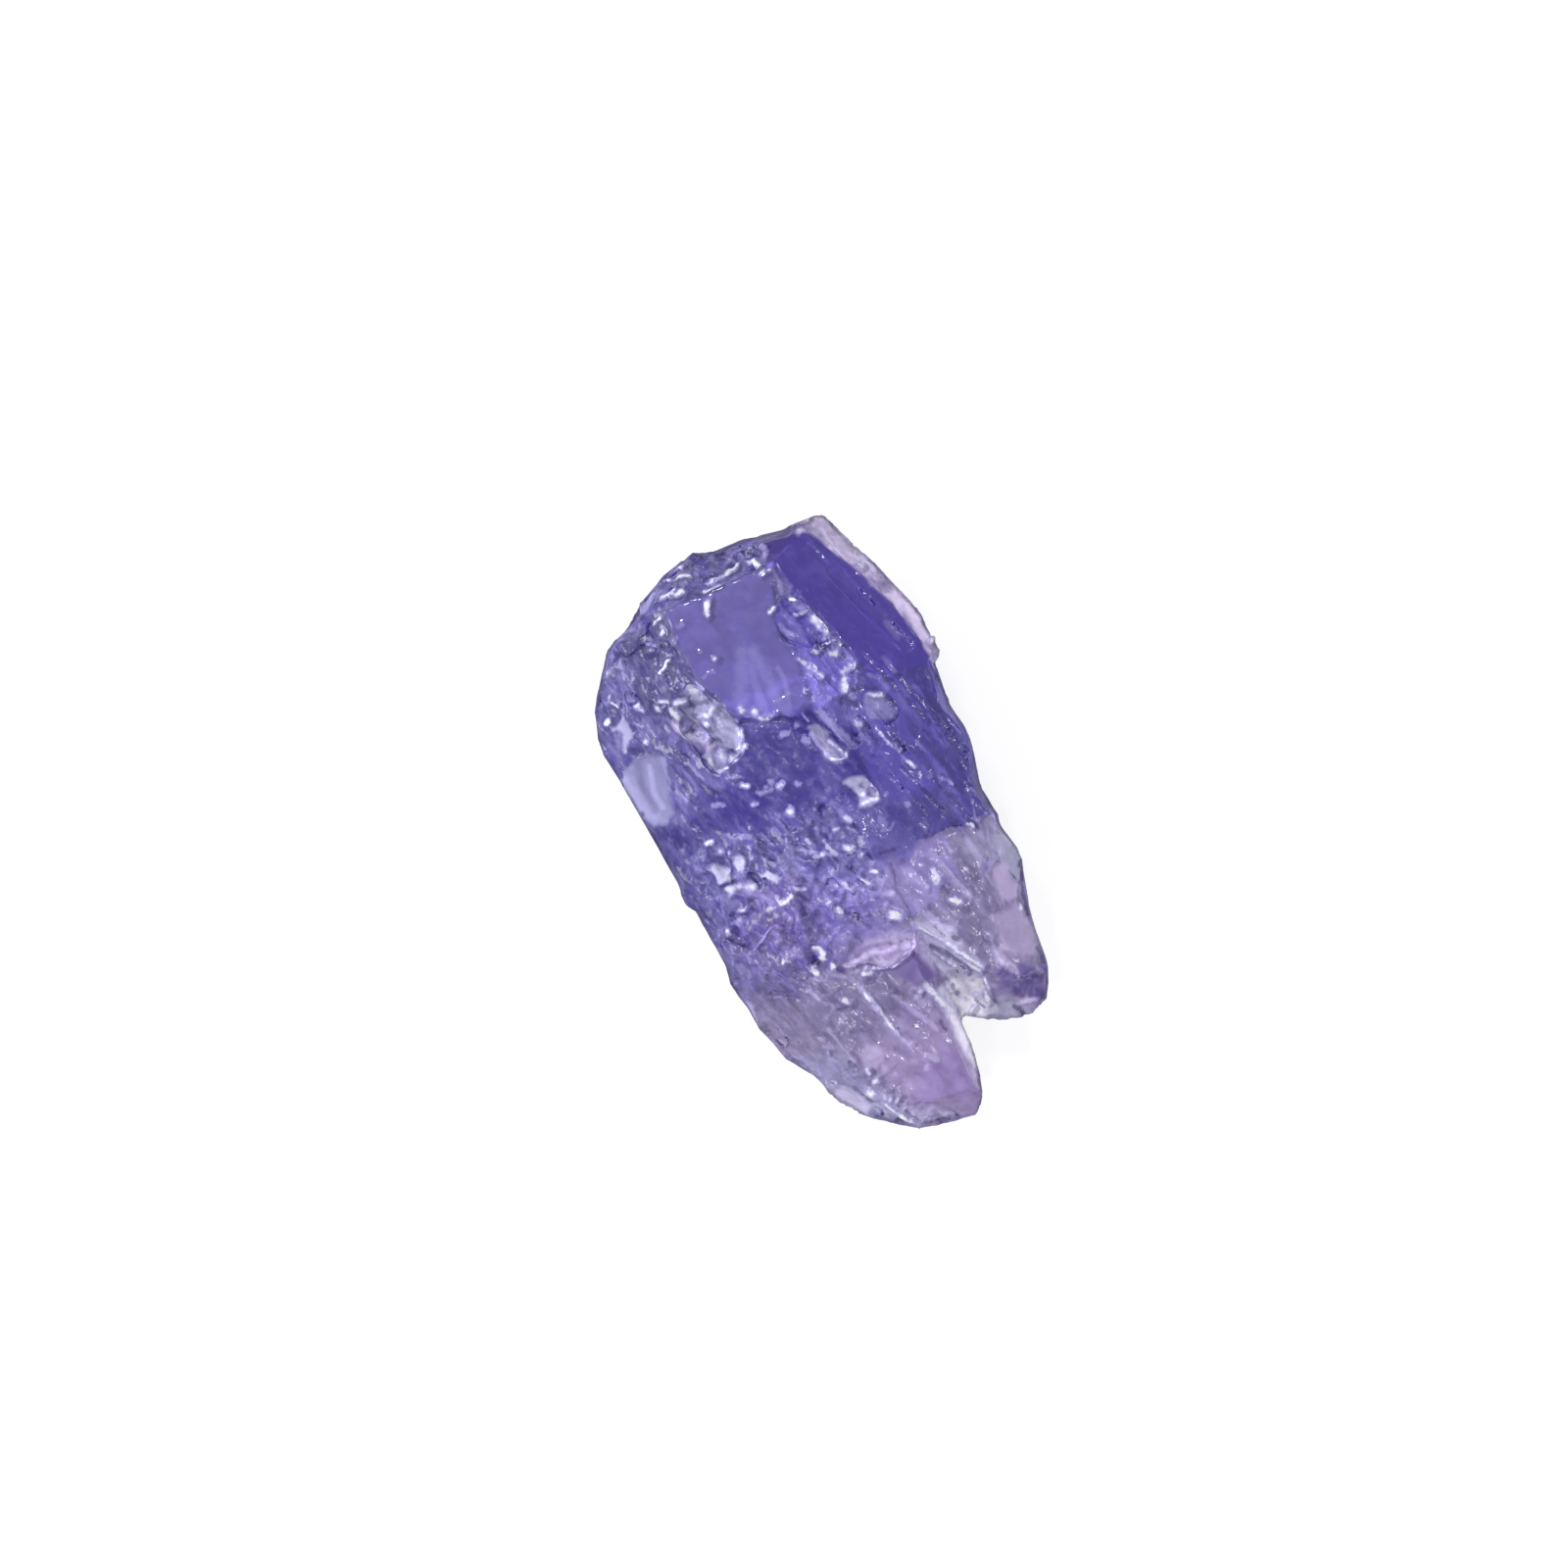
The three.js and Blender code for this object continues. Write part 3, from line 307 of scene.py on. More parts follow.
        (-3.2, -2.7), (-2.5, -2.7), (-2.0, -3.1), (-1.95, -3.5), (-2.3, -3.5), (-2.7, -3.2)]},
    "lobePink": {"colour": "pink", "haze": 0.6, "broken": 0.2, "soft": 0.6, "outline": [
        (-1.3, -5.0), (-0.2, -4.3), (0.9, -4.9), (1.3, -6.0), (0.8, -8.4), (-1.0, -7.9), (-1.6, -6.2)]},
    "lobeMauve": {"colour": "mauve", "haze": 0.7, "broken": 0.15, "soft": 0.5, "outline": [
        (-0.2, -5.9), (0.75, -5.8), (0.95, -7.2), (0.8, -8.2), (-0.3, -7.9), (-1.0, -7.2), (-0.8, -6.5)]},
    "lobePale": {"colour": "pale", "share": 0.9, "haze": 0.65, "broken": 0.5, "soft": 0.5, "outline": [
        (-3.6, -4.7), (-2.2, -4.8), (-1.6, -5.6), (-1.2, -6.5), (-0.9, -7.8), (-3.4, -7.0)]},
    "lobeFoot": {"colour": "silver", "share": 0.4, "haze": 0.7, "broken": 0.9, "soft": 0.3, "outline": [
        (-1.2, -6.6), (-0.6, -6.9), (0.0, -7.5), (-0.3, -7.8), (-1.3, -7.3)]},
    "lobeRim": {"colour": "ice", "haze": 0.95, "broken": 0.15, "soft": 0.15, "outline": [
        (0.72, -4.4), (1.2, -4.4), (1.3, -5.6), (1.1, -6.5), (0.92, -6.5), (0.82, -6.0), (0.78, -5.2)]},
    "swath": {"colour": "blush", "share": 0.8, "haze": 0.85, "broken": 0.6, "soft": 0.15, "outline": [
        (-1.05, -2.96), (-0.6, -2.74), (-0.27, -2.62), (0.3, -2.68), (0.69, -2.85), (1.0, -3.1),
        (0.95, -3.4), (0.57, -3.35), (0.07, -3.47), (-0.27, -3.38), (-0.72, -3.24), (-0.94, -3.19)]},
    "violetPatch": {"colour": "purple", "share": 0.75, "haze": 0.75, "broken": 0.1, "outline": [
        (0.12, -3.5), (0.6, -3.35), (0.82, -3.6), (0.9, -4.1), (0.6, -4.2), (0.2, -4.0), (0.1, -3.7)]},
    "bundle": {"colour": "frost", "share": 0.75, "haze": 0.9, "broken": 0.15, "soft": 0.2, "outline": [
        (0.95, -2.7), (1.3, -2.85), (1.75, -3.4), (2.1, -4.35), (1.95, -4.55), (1.0, -4.25), (0.85, -3.6)]},
    "sideFacet": {"colour": "silver", "share": 0.95, "haze": 0.8, "broken": 0.2, "outline": [
        (3.5, -1.55), (3.95, -1.65), (4.1, -2.4), (3.68, -2.82), (3.48, -2.37), (3.43, -1.86)]},
    "web": {"colour": "ice", "haze": 0.95, "broken": 0.6, "outline": [
        (1.0, -4.45), (1.25, -4.3), (1.75, -4.5), (1.92, -4.7), (1.95, -5.3), (1.9, -5.9), (1.5, -5.7),
        (1.0, -5.3)]},
    "pinkFacet": {"colour": "blush", "share": 0.6, "haze": 0.85, "broken": 0.1, "soft": 0.15, "outline": [
        (2.7, -3.4), (3.42, -3.28), (3.55, -3.7), (3.52, -4.2), (3.42, -4.55), (3.0, -4.65), (2.75, -4.35),
        (2.6, -4.1)]},
    "upperPinkFacet": {"colour": "blush", "share": 0.85, "haze": 0.95, "broken": 0.1, "soft": 0.15,
        "outline": [
            (3.05, -2.5), (3.2, -2.25), (3.45, -2.3), (3.6, -2.9), (3.5, -3.2), (3.05, -3.1)]},
    "tipFoot": {"colour": "silver", "share": 0.8, "haze": 0.85, "broken": 0.3, "soft": 0.2, "outline": [
        (1.6, -5.3), (1.95, -5.3), (2.25, -5.2), (2.42, -5.5), (2.5, -6.2), (1.6, -6.0)]},
    "darkTip": {"colour": "plum", "share": 0.95, "haze": 0.75, "broken": 0.4, "soft": 0.25, "outline": [
        (2.2, -4.65), (2.6, -4.55), (2.85, -4.7), (3.2, -4.85), (3.5, -5.0), (3.25, -5.65), (2.9, -6.0),
        (2.6, -5.6), (2.4, -5.3), (2.2, -5.1)]},
    "tipLight": {"colour": "blush", "share": 0.75, "haze": 0.9, "broken": 0.2, "soft": 0.08, "outline": [
        [(2.4, -4.1), (2.75, -4.0), (2.82, -4.12), (2.62, -4.24), (2.66, -4.45), (2.78, -4.77),
         (2.74, -5.08), (2.66, -4.85), (2.5, -4.58), (2.36, -4.4)],
        [(2.45, -5.42), (2.7, -5.5), (2.97, -5.68), (2.75, -5.72), (2.5, -5.6)]]},
    "troughSide": {"colour": "blush", "share": 0.8, "haze": 0.9, "broken": 0.2, "soft": 0.12, "outline": [
        (-2.6, 4.2), (-2.33, 3.98), (-2.15, 3.5), (-1.9, 3.37), (-1.86, 3.2), (-1.93, 3.0), (-2.07, 3.16),
        (-2.28, 3.46), (-2.46, 3.77)]},
    "leftGlintFacet": {"colour": "glow", "share": 0.8, "haze": 0.9, "broken": 0.1, "soft": 0.06,
        "outline": [
            (-3.83, 4.5), (-3.65, 4.55), (-3.45, 4.75), (-3.4, 4.5), (-3.45, 4.2), (-3.6, 4.05),
            (-3.75, 3.85), (-3.82, 3.87), (-3.68, 4.15), (-3.62, 4.3), (-3.68, 4.42)]},
    "endFacet": {"colour": "rim", "share": 0.4, "haze": 0.95, "broken": 0.25, "soft": 0.12, "outline": [
        (-2.66, -5.66), (-2.21, -5.65), (-2.0, -5.95), (-1.8, -6.2), (-1.7, -6.45), (-2.0, -6.5),
        (-2.41, -6.25), (-2.7, -5.95)]},
    "roundFacet": {"colour": "rim", "share": 0.22, "haze": 0.85, "broken": 0.15, "outline": [
        (-1.59, -5.11), (-1.34, -4.98), (-1.08, -5.04), (-0.99, -5.22), (-1.08, -5.47), (-1.34, -5.57),
        (-1.49, -5.47), (-1.57, -5.32)]},
    "stubA": {"colour": "frost", "share": 0.38, "haze": 0.85, "broken": 0.3, "outline": [
        (0.5, 2.62), (0.68, 2.6), (0.83, 2.3), (0.9, 2.0), (1.08, 1.65), (1.06, 1.56), (0.81, 1.58),
        (0.63, 1.81), (0.54, 2.12), (0.47, 2.4)]},
    "stubB": {"colour": "frost", "share": 0.62, "haze": 0.85, "broken": 0.4, "outline": [
        (0.97, 1.08), (1.17, 0.99), (1.31, 0.72), (1.4, 0.4), (1.37, 0.29), (1.06, 0.31), (0.88, 0.4),
        (0.97, 0.59), (0.86, 0.86), (0.77, 1.04)]},
    "block": {"colour": "pale", "share": 0.75, "haze": 0.8, "broken": 0.3, "outline": [
        (2.12, 2.76), (2.34, 2.73), (2.48, 2.58), (2.59, 2.12), (2.52, 1.99), (2.25, 2.08), (1.98, 2.21),
        (1.96, 2.44)]},
    "glintShapes": {"colour": "bright", "haze": 0.95, "broken": 0.6, "soft": 0.08, "outline": [
        [(-3.18, 0.5), (-2.91, 0.58), (-2.82, 0.42), (-2.68, 0.25), (-2.68, 0.0), (-2.93, 0.0),
         (-3.07, 0.2), (-3.1, 0.36)],
        [(-2.37, 0.5), (-2.17, 0.45), (-2.3, 0.12), (-2.46, 0.16)],
        [(-2.91, -0.13), (-2.6, -0.05), (-2.38, -0.2), (-2.2, -0.27), (-2.22, -0.48), (-2.42, -0.38),
         (-2.64, -0.27), (-2.86, -0.26)],
        [(-2.22, 0.07), (-2.08, -0.13), (-1.83, -0.16), (-1.65, -0.3), (-1.6, -0.44), (-1.68, -0.5),
         (-1.83, -0.37), (-2.04, -0.25)],
        [(1.4, -3.38), (1.52, -3.5), (1.72, -3.83), (1.66, -3.9), (1.5, -3.72)]]},
}

# Strokes of the front: how wide each is, and the points that it runs through.
strokes = {
    # painted highlights: glints, each also raised as a low ridge
    "bright": [
        (0.12, (-3.42, 5.82)), (0.1, (-3.13, 4.82), (-3.1, 4.7), (-3.0, 4.6)),
        (0.09, (-3.95, 4.7), (-3.88, 4.74)), (0.13, (-2.63, 4.5)), (0.09, (-2.5, 4.62), (-2.33, 4.55)),
        (0.07, (-2.23, 5.27), (-2.1, 5.33), (-1.93, 5.47)), (0.08, (-1.93, 6.37), (-1.7, 6.44)),
        (0.08, (-1.83, 6.08), (-1.75, 6.12)), (0.12, (-0.61, 6.05), (-0.56, 6.2), (-0.47, 6.33)),
        (0.11, (-0.88, 5.02)), (0.06, (-3.75, 5.15), (-3.6, 5.3)), (0.06, (-3.7, 5.12), (-3.5, 4.95)),
        (0.14, (-1.4, 6.87), (-1.25, 6.85), (-1.1, 6.9)), (0.1, (-1.1, 6.8), (-0.92, 6.84)),
        (0.12, (-0.75, 7.45)), (0.06, (-1.2, 7.3), (-0.95, 7.15), (-0.6, 7.15)),
        (0.07, (-0.3, 6.82), (0.1, 6.77), (0.45, 6.85), (0.55, 6.95)),
        (0.08, (-0.45, 6.65), (-0.25, 6.6), (-0.05, 6.6)), (0.08, (0.8, 6.84), (0.93, 6.8), (1.0, 6.65)),
        (0.08, (0.92, 6.4), (1.05, 6.45), (1.2, 6.42)), (0.09, (0.78, 5.5), (0.92, 5.55)),
        (0.08, (1.35, 5.55), (1.42, 5.5)), (0.08, (1.35, 5.2), (1.55, 5.15)),
        (0.11, (1.64, 4.95), (1.72, 4.8), (1.78, 4.62), (1.87, 4.45), (1.85, 4.35)),
        (0.1, (1.38, 4.25), (1.5, 4.18), (1.78, 4.22)), (0.1, (1.92, 4.2), (2.0, 4.1)),
        (0.1, (1.8, 4.0), (1.87, 3.93)), (0.12, (1.84, 3.5), (1.95, 3.53), (2.12, 3.55)),
        (0.12, (1.76, 3.3), (1.67, 3.08)), (0.08, (0.95, 4.2), (1.1, 3.95)),
        (0.12, (1.15, 3.85), (1.25, 3.68), (1.3, 3.6)), (0.12, (-0.8, 3.7), (-0.77, 3.6)),
        (0.15, (-0.54, 3.47)), (0.12, (-0.45, 3.25), (-0.3, 3.2), (-0.12, 3.24)),
        (0.07, (3.2, 5.85), (3.3, 5.65)), (0.06, (2.15, 7.28), (2.35, 7.27), (2.55, 7.22)),
        (0.08, (4.0, 2.85), (4.06, 2.95)), (0.1, (4.08, 3.33), (4.25, 3.4)), (0.12, (-3.2, 3.9)),
        (0.1, (-1.5, 2.0), (-1.4, 1.93)), (0.09, (-1.45, 1.46), (-1.35, 1.43)),
        (0.12, (-0.7, 1.6), (-0.62, 1.62)), (0.15, (-0.7, 0.95)), (0.08, (-2.9, 1.05), (-2.73, 1.07)),
        (0.13, (-1.72, 4.57), (-1.56, 4.45)), (0.1, (-2.15, 4.46), (-1.93, 4.41)),
        (0.11, (-2.34, 4.33), (-2.27, 3.95), (-2.18, 3.65), (-1.97, 3.32)),
        (0.13, (-1.75, 3.95), (-1.58, 3.86), (-1.38, 4.0)), (0.1, (-1.55, 3.88)), (0.12, (-1.68, 3.68)),
        (0.12, (-2.0, 3.05), (-1.96, 2.75), (-1.85, 2.58), (-1.7, 2.55)), (0.1, (-1.56, 2.7), (-1.4, 2.65)),
        (0.09, (-1.25, 2.83), (-1.05, 2.82)), (0.14, (-1.76, 2.93), (-1.74, 2.77)),
        (0.07, (-1.02, 3.2), (-1.1, 2.9), (-1.16, 2.76)), (0.07, (0.62, 1.87), (0.7, 1.7), (0.8, 1.65)),
        (0.06, (0.8, 2.1), (0.95, 1.85), (1.07, 1.64)), (0.06, (0.82, 1.62), (1.05, 1.6)),
        (0.1, (1.6, 2.25), (1.66, 2.15)), (0.1, (2.15, 2.74), (2.28, 2.66), (2.42, 2.6)),
        (0.08, (2.05, 1.81), (2.12, 1.53), (2.25, 1.26), (2.34, 1.0), (2.45, 0.7)),
        (0.12, (0.95, 0.41), (1.1, 0.42), (1.33, 0.4)), (0.14, (1.05, 0.64)),
        (0.06, (1.25, 0.9), (1.35, 0.5)), (0.14, (-2.68, 0.75)), (0.1, (-2.53, 0.55), (-2.44, 0.65)),
        (0.11, (-2.22, -1.0), (-2.07, -1.0)), (0.07, (-1.88, -0.75), (-1.9, -0.95)),
        (0.09, (-1.86, -1.0), (-1.7, -0.98), (-1.52, -0.92)),
        (0.08, (-1.35, -0.78), (-1.28, -0.86), (-1.15, -0.9)), (0.12, (-2.83, -0.75), (-2.77, -0.77)),
        (0.09, (-3.3, -1.08), (-3.3, -1.18)), (0.12, (-2.35, -2.28)),
        (0.12, (-1.52, -2.3), (-1.42, -2.35), (-1.39, -2.52), (-1.45, -2.7)),
        (0.12, (-1.75, -2.78), (-1.7, -2.88)), (0.1, (-1.28, -2.88)), (0.1, (0.06, 0.12), (0.19, 0.1)),
        (0.13, (0.45, 0.25), (0.48, 0.17)), (0.12, (-0.42, -0.32)), (0.12, (0.15, -0.38), (0.25, -0.47)),
        (0.12, (0.41, -0.7)), (0.12, (-0.22, -1.17), (-0.18, -1.3), (-0.09, -1.37)),
        (0.1, (0.19, -1.26), (0.3, -1.41)), (0.08, (0.47, -1.15), (0.6, -1.23)),
        (0.12, (-0.78, -1.42), (-0.72, -1.43)), (0.08, (-0.62, -1.65), (-0.57, -1.78)),
        (0.17, (0.56, -2.31), (0.67, -2.41)), (0.1, (2.95, 0.2), (3.05, 0.08), (3.14, -0.03)),
        (0.09, (3.85, 0.33)), (0.07, (3.1, -1.07), (3.18, -1.18)), (0.2, (1.87, -1.76), (1.83, -2.04)),
        (0.11, (1.55, -2.05)), (0.14, (2.0, -2.58), (2.12, -2.7)),
        (0.08, (0.95, -2.82), (1.16, -3.12), (1.41, -3.42), (1.56, -3.63)),
        (0.08, (1.56, -3.63), (1.76, -4.03), (2.01, -4.38)),
        (0.06, (1.51, -3.78), (1.71, -4.13), (1.91, -4.48)),
        (0.07, (1.21, -3.78), (1.41, -4.08), (1.58, -4.36)),
        (0.06, (1.08, -4.45), (1.06, -4.6), (1.14, -4.7)), (0.1, (1.6, -4.95), (1.69, -4.99)),
        (0.1, (1.85, -4.97), (1.8, -5.22)), (0.06, (1.3, -5.33), (1.42, -5.24)),
        (0.13, (0.64, -4.22), (0.7, -4.5), (0.78, -4.8), (0.87, -5.05)), (0.13, (3.45, -3.45)),
        (0.1, (-0.68, -3.34), (-0.5, -3.41)),
        (0.06, (-0.6, -3.24), (-0.3, -3.38), (0.05, -3.47), (0.4, -3.4), (0.6, -3.33)),
        (0.06, (-0.87, -3.6), (-0.8, -3.95), (-0.69, -4.3), (-0.62, -4.65), (-0.5, -5.1), (-0.33, -5.38)),
        (0.13, (-1.37, -3.74), (-1.27, -3.84)), (0.12, (0.38, -4.3)), (0.11, (-1.55, -5.5), (-1.54, -5.62)),
        (0.13, (-1.5, -5.85), (-1.42, -5.86)), (0.13, (-1.75, -6.02), (-1.7, -6.1)),
        (0.09, (-1.5, -6.5), (-1.3, -6.8), (-1.08, -7.15)), (0.15, (-1.15, -7.1), (-1.1, -7.16)),
        (0.07, (-1.1, -6.45), (-1.25, -6.55)), (0.08, (-1.3, -6.35), (-1.36, -6.45)),
    ],
    # lighter streaks, and weaker painted highlights
    "pale": [
        (0.08, (-2.25, 6.1), (-2.22, 5.95), (-2.28, 5.87)), (0.13, (-1.65, 5.75), (-1.53, 5.83)),
        (0.08, (-3.05, 5.3), (-3.05, 5.12)), (0.09, (-2.4, 4.88), (-2.25, 4.86)), (0.1, (-2.36, 5.18)),
        (0.1, (-2.17, 5.45)), (0.08, (-2.12, 5.78), (-2.04, 5.97)), (0.1, (-1.6, 5.5)),
        (0.09, (-1.37, 6.05), (-1.25, 6.08)), (0.09, (-0.45, 6.35), (-0.3, 6.45)), (0.1, (-0.42, 6.0)),
        (0.08, (-1.3, 4.7), (-1.15, 4.77), (-1.02, 4.72)), (0.1, (-1.12, 5.3)),
        (0.16, (-2.45, 6.58), (-1.9, 6.85), (-1.45, 7.1)), (0.08, (-0.45, 7.05), (-0.35, 7.3)),
        (0.05, (0.35, 7.25), (0.6, 7.0), (0.9, 7.1), (1.05, 7.3)),
        (0.12, (1.25, 7.1), (1.3, 6.9), (1.22, 6.82)),
        (0.12, (2.75, 6.9), (2.78, 6.5), (3.0, 6.05), (3.15, 5.85)),
        (0.06, (1.25, 6.35), (1.3, 6.05), (1.22, 5.8)), (0.1, (1.45, 5.4), (1.55, 5.2)),
        (0.1, (0.9, 5.15), (0.95, 4.95), (1.1, 4.8)), (0.13, (2.0, 4.0), (2.1, 3.8), (2.05, 3.65)),
        (0.09, (1.75, 2.85), (1.8, 2.78)), (0.08, (-0.87, 3.6), (-0.72, 3.43), (-0.5, 3.3)),
        (0.07, (-2.5, 3.0), (-2.3, 2.5)), (0.09, (-2.98, 2.5), (-2.85, 2.2)), (0.1, (-2.75, 1.95)),
        (0.1, (-2.35, 1.85), (-2.15, 1.75)), (0.06, (0.5, 2.45), (0.56, 2.1), (0.66, 1.82)),
        (0.1, (-3.0, 1.5)), (0.12, (-0.85, 1.8)), (0.12, (-1.2, 1.65), (-0.92, 1.6)), (0.09, (-0.68, 1.1)),
        (0.13, (-2.35, 3.95), (-2.2, 3.6), (-2.0, 3.35), (-1.92, 3.2)), (0.08, (-1.8, 2.3), (-1.45, 2.2)),
        (0.08, (0.5, 2.95), (0.55, 2.75)), (0.16, (1.15, 2.25), (1.22, 2.05)),
        (0.1, (1.62, 1.95), (1.7, 1.7)), (0.12, (2.15, 1.5), (2.25, 1.3)), (0.1, (2.4, 0.85), (2.5, 0.7)),
        (0.08, (2.75, 1.25), (2.85, 0.95)), (0.12, (-0.28, 1.48)), (0.1, (-1.0, 1.72)),
        (0.1, (0.3, 2.38), (0.36, 2.3)), (0.12, (0.25, 2.75)), (0.1, (-0.15, 2.7), (0.0, 2.7)),
        (0.12, (-2.95, -0.17), (-2.75, -0.15)), (0.14, (-2.2, -0.6), (-2.05, -0.7), (-2.1, -0.85)),
        (0.16, (-1.4, -0.5), (-1.2, -0.45)), (0.14, (-3.4, -2.0), (-3.3, -2.25)), (0.1, (-1.95, -2.15)),
        (0.08, (-2.2, 0.9), (-1.85, 0.75)), (0.08, (-1.25, 0.72), (-1.2, 0.6)),
        (0.08, (-1.2, 0.35), (-1.05, 0.15)),
        (0.07, (-0.9, 0.1), (-0.65, -0.15), (-0.5, -0.25), (-0.1, -0.45)),
        (0.1, (-0.32, 0.25), (-0.3, 0.35)), (0.16, (0.2, -1.6), (0.5, -1.75), (0.75, -1.85)),
        (0.07, (-0.55, -1.85), (-0.35, -2.15), (-0.2, -2.35)), (0.1, (1.2, -0.1), (1.25, -0.25)),
        (0.08, (1.1, -0.35), (1.3, -0.42), (1.45, -0.3)), (0.1, (1.98, -0.05)), (0.12, (1.6, 0.4)),
        (0.1, (0.35, -2.15), (0.5, -2.05)), (0.1, (2.7, 0.38)), (0.06, (3.5, -0.3), (3.65, -0.55)),
        (0.06, (3.45, -0.6), (3.35, -0.95)), (0.08, (3.3, -1.0), (3.35, -1.1)),
        (0.1, (3.75, -1.1), (3.78, -1.3)), (0.08, (2.4, -1.3), (2.42, -1.55)),
        (0.12, (2.11, -1.71), (2.32, -2.3), (2.47, -2.62)), (0.11, (1.25, -2.6), (1.5, -3.0), (1.75, -3.3)),
        (0.08, (-1.0, -3.02), (-0.5, -2.99), (-0.05, -3.08), (0.35, -3.06)),
        (0.12, (0.4, -3.1), (0.68, -3.25), (0.82, -3.5)),
        (0.16, (-0.89, -3.52), (-0.83, -3.86), (-0.7, -4.25), (-0.62, -4.65), (-0.46, -5.15),
         (-0.3, -5.43)), (0.1, (-1.34, -3.06), (-1.05, -3.26), (-0.89, -3.52)),
        (0.07, (-1.44, -2.95), (-1.3, -3.0), (-1.3, -2.8)),
        (0.07, (-1.85, -2.7), (-1.69, -2.91), (-1.62, -3.1), (-1.44, -3.04), (-1.54, -2.9)),
        (0.08, (-2.3, -4.35), (-2.13, -4.75)), (0.1, (-2.0, -4.2), (-1.95, -4.6), (-1.75, -5.2)),
        (0.08, (-1.18, 0.35), (-0.94, 0.06), (-0.66, -0.13), (-0.42, -0.33)),
        (0.07, (-1.33, 0.69), (-1.18, 0.4)), (0.08, (-2.05, 0.86), (-1.86, 0.78)),
        (0.18, (-2.6, -0.35), (-2.2, -0.65), (-1.95, -0.8)), (0.16, (0.9, 2.85), (1.05, 2.4), (1.3, 1.8)),
        (0.12, (1.62, 2.3), (1.66, 2.0)), (0.14, (0.95, -3.1), (1.2, -3.4), (1.3, -3.6)),
        (0.08, (-0.1, -5.75), (0.1, -6.0)), (0.1, (1.05, -3.95), (1.15, -4.1)),
        (0.16, (0.88, -5.1), (0.9, -5.6), (0.87, -6.1), (0.83, -6.7)),
        (0.13, (2.45, -4.05), (2.4, -4.3), (2.5, -4.5)), (0.07, (2.65, -4.55), (2.72, -4.75), (2.72, -5.0)),
        (0.08, (2.45, -5.55), (2.7, -5.6), (2.9, -5.7)), (0.1, (3.2, -4.95), (3.3, -5.1)),
        (0.08, (-1.8, -3.0), (-1.6, -3.1), (-1.4, -3.0)), (0.18, (0.8, -3.2), (0.85, -3.5), (0.9, -3.7)),
        (0.08, (-0.27, -4.09), (-0.04, -4.48), (0.24, -5.04), (0.4, -5.32)), (0.1, (-1.55, -4.1)),
        (0.1, (-2.3, -4.6), (-2.2, -4.7)), (0.08, (-2.05, -3.15), (-1.9, -3.5), (-1.8, -3.65)),
        (0.09, (0.2, -4.4), (0.35, -4.4)), (0.1, (0.0, -4.5), (0.15, -4.85), (0.35, -5.15)),
        (0.13, (-1.15, -5.72)), (0.13, (-0.2, -6.07)), (0.15, (-1.65, -6.17), (-1.45, -6.3)),
        (0.1, (-1.0, -6.6), (-1.1, -6.8)), (0.1, (-0.85, -7.15), (-0.7, -7.35)),
        (0.14, (-0.4, -7.25), (-0.1, -7.45)), (0.1, (0.8, -5.9), (0.88, -6.3)),
    ],
    "ray": [
        (0.1, (0.42, 4.2), (0.45, 3.9), (0.4, 3.6), (0.28, 3.22)),
        (0.35, (-4.05, 3.2), (-3.95, 2.6), (-3.8, 2.2)), (0.3, (-0.2, 4.9), (-0.4, 4.4), (-0.7, 3.9)),
        (0.25, (0.0, 4.8), (0.08, 4.2), (0.1, 3.7), (0.15, 3.2)),
        (0.2, (-0.15, 4.5), (-0.25, 3.8), (-0.3, 3.3)), (0.15, (-3.4, 3.3), (-3.55, 2.7), (-3.5, 2.3)),
        (0.2, (1.3, -1.5), (1.6, -2.2), (1.8, -3.2)), (0.15, (2.0, -1.3), (2.2, -2.2), (2.6, -3.2)),
        (0.15, (2.9, -1.4), (3.0, -1.9), (2.8, -2.6)), (0.2, (1.1, -2.2), (1.3, -2.8), (1.6, -3.2)),
        (0.14, (3.25, 4.15), (3.36, 3.7)), (0.12, (2.85, 3.4), (2.95, 3.0)),
        (0.1, (2.35, 3.2), (2.55, 3.0), (2.65, 2.7)),
    ],
    "dim": [
        (0.09, (-0.05, -3.23), (0.34, -3.2)), (0.12, (-0.9, -2.95), (-0.4, -2.86), (0.2, -2.92)),
        (0.1, (-0.65, -3.12), (-0.2, -3.1)), (0.15, (-3.6, 3.55), (-3.75, 2.9), (-3.7, 2.3)),
        (0.12, (-3.9, 3.6), (-3.4, 3.58), (-3.05, 3.5)), (0.12, (2.4, 6.75), (2.6, 6.4), (2.8, 6.0)),
        (0.15, (1.75, -1.4), (1.95, -2.2), (2.2, -3.0)), (0.15, (2.6, -1.5), (2.75, -2.4), (2.7, -3.2)),
        (0.15, (2.2, -3.2), (2.4, -3.9)), (0.15, (-0.68, -5.35), (-0.5, -5.62)),
        (0.12, (3.05, 6.9), (3.3, 6.3), (3.6, 5.6)), (0.2, (-2.6, -3.0), (-2.4, -3.8), (-2.1, -4.4)),
        (0.2, (-1.6, -3.6), (-1.3, -4.4), (-1.05, -5.0)), (0.25, (-0.4, -3.8), (-0.3, -4.4), (0.0, -5.0)),
        (0.2, (2.9, 1.8), (3.1, 1.0), (3.25, 0.3)), (0.2, (3.5, 2.0), (3.6, 1.0), (3.6, 0.2)),
    ],
    # cracks, and painted shade along steps and around glints
    "dark": [
        (0.08, (-2.25, 5.18), (-2.1, 5.2)), (0.2, (-3.2, 6.0), (-2.95, 6.05)),
        (0.2, (-3.85, 5.0), (-3.65, 4.9)), (0.2, (-3.55, 3.8), (-3.3, 3.75)),
        (0.12, (-0.32, 7.6), (-0.45, 7.35)), (0.1, (-0.5, 7.2), (-0.55, 7.0)),
        (0.1, (-0.2, 6.9), (-0.02, 6.9)), (0.12, (0.15, 6.92), (0.42, 6.97)),
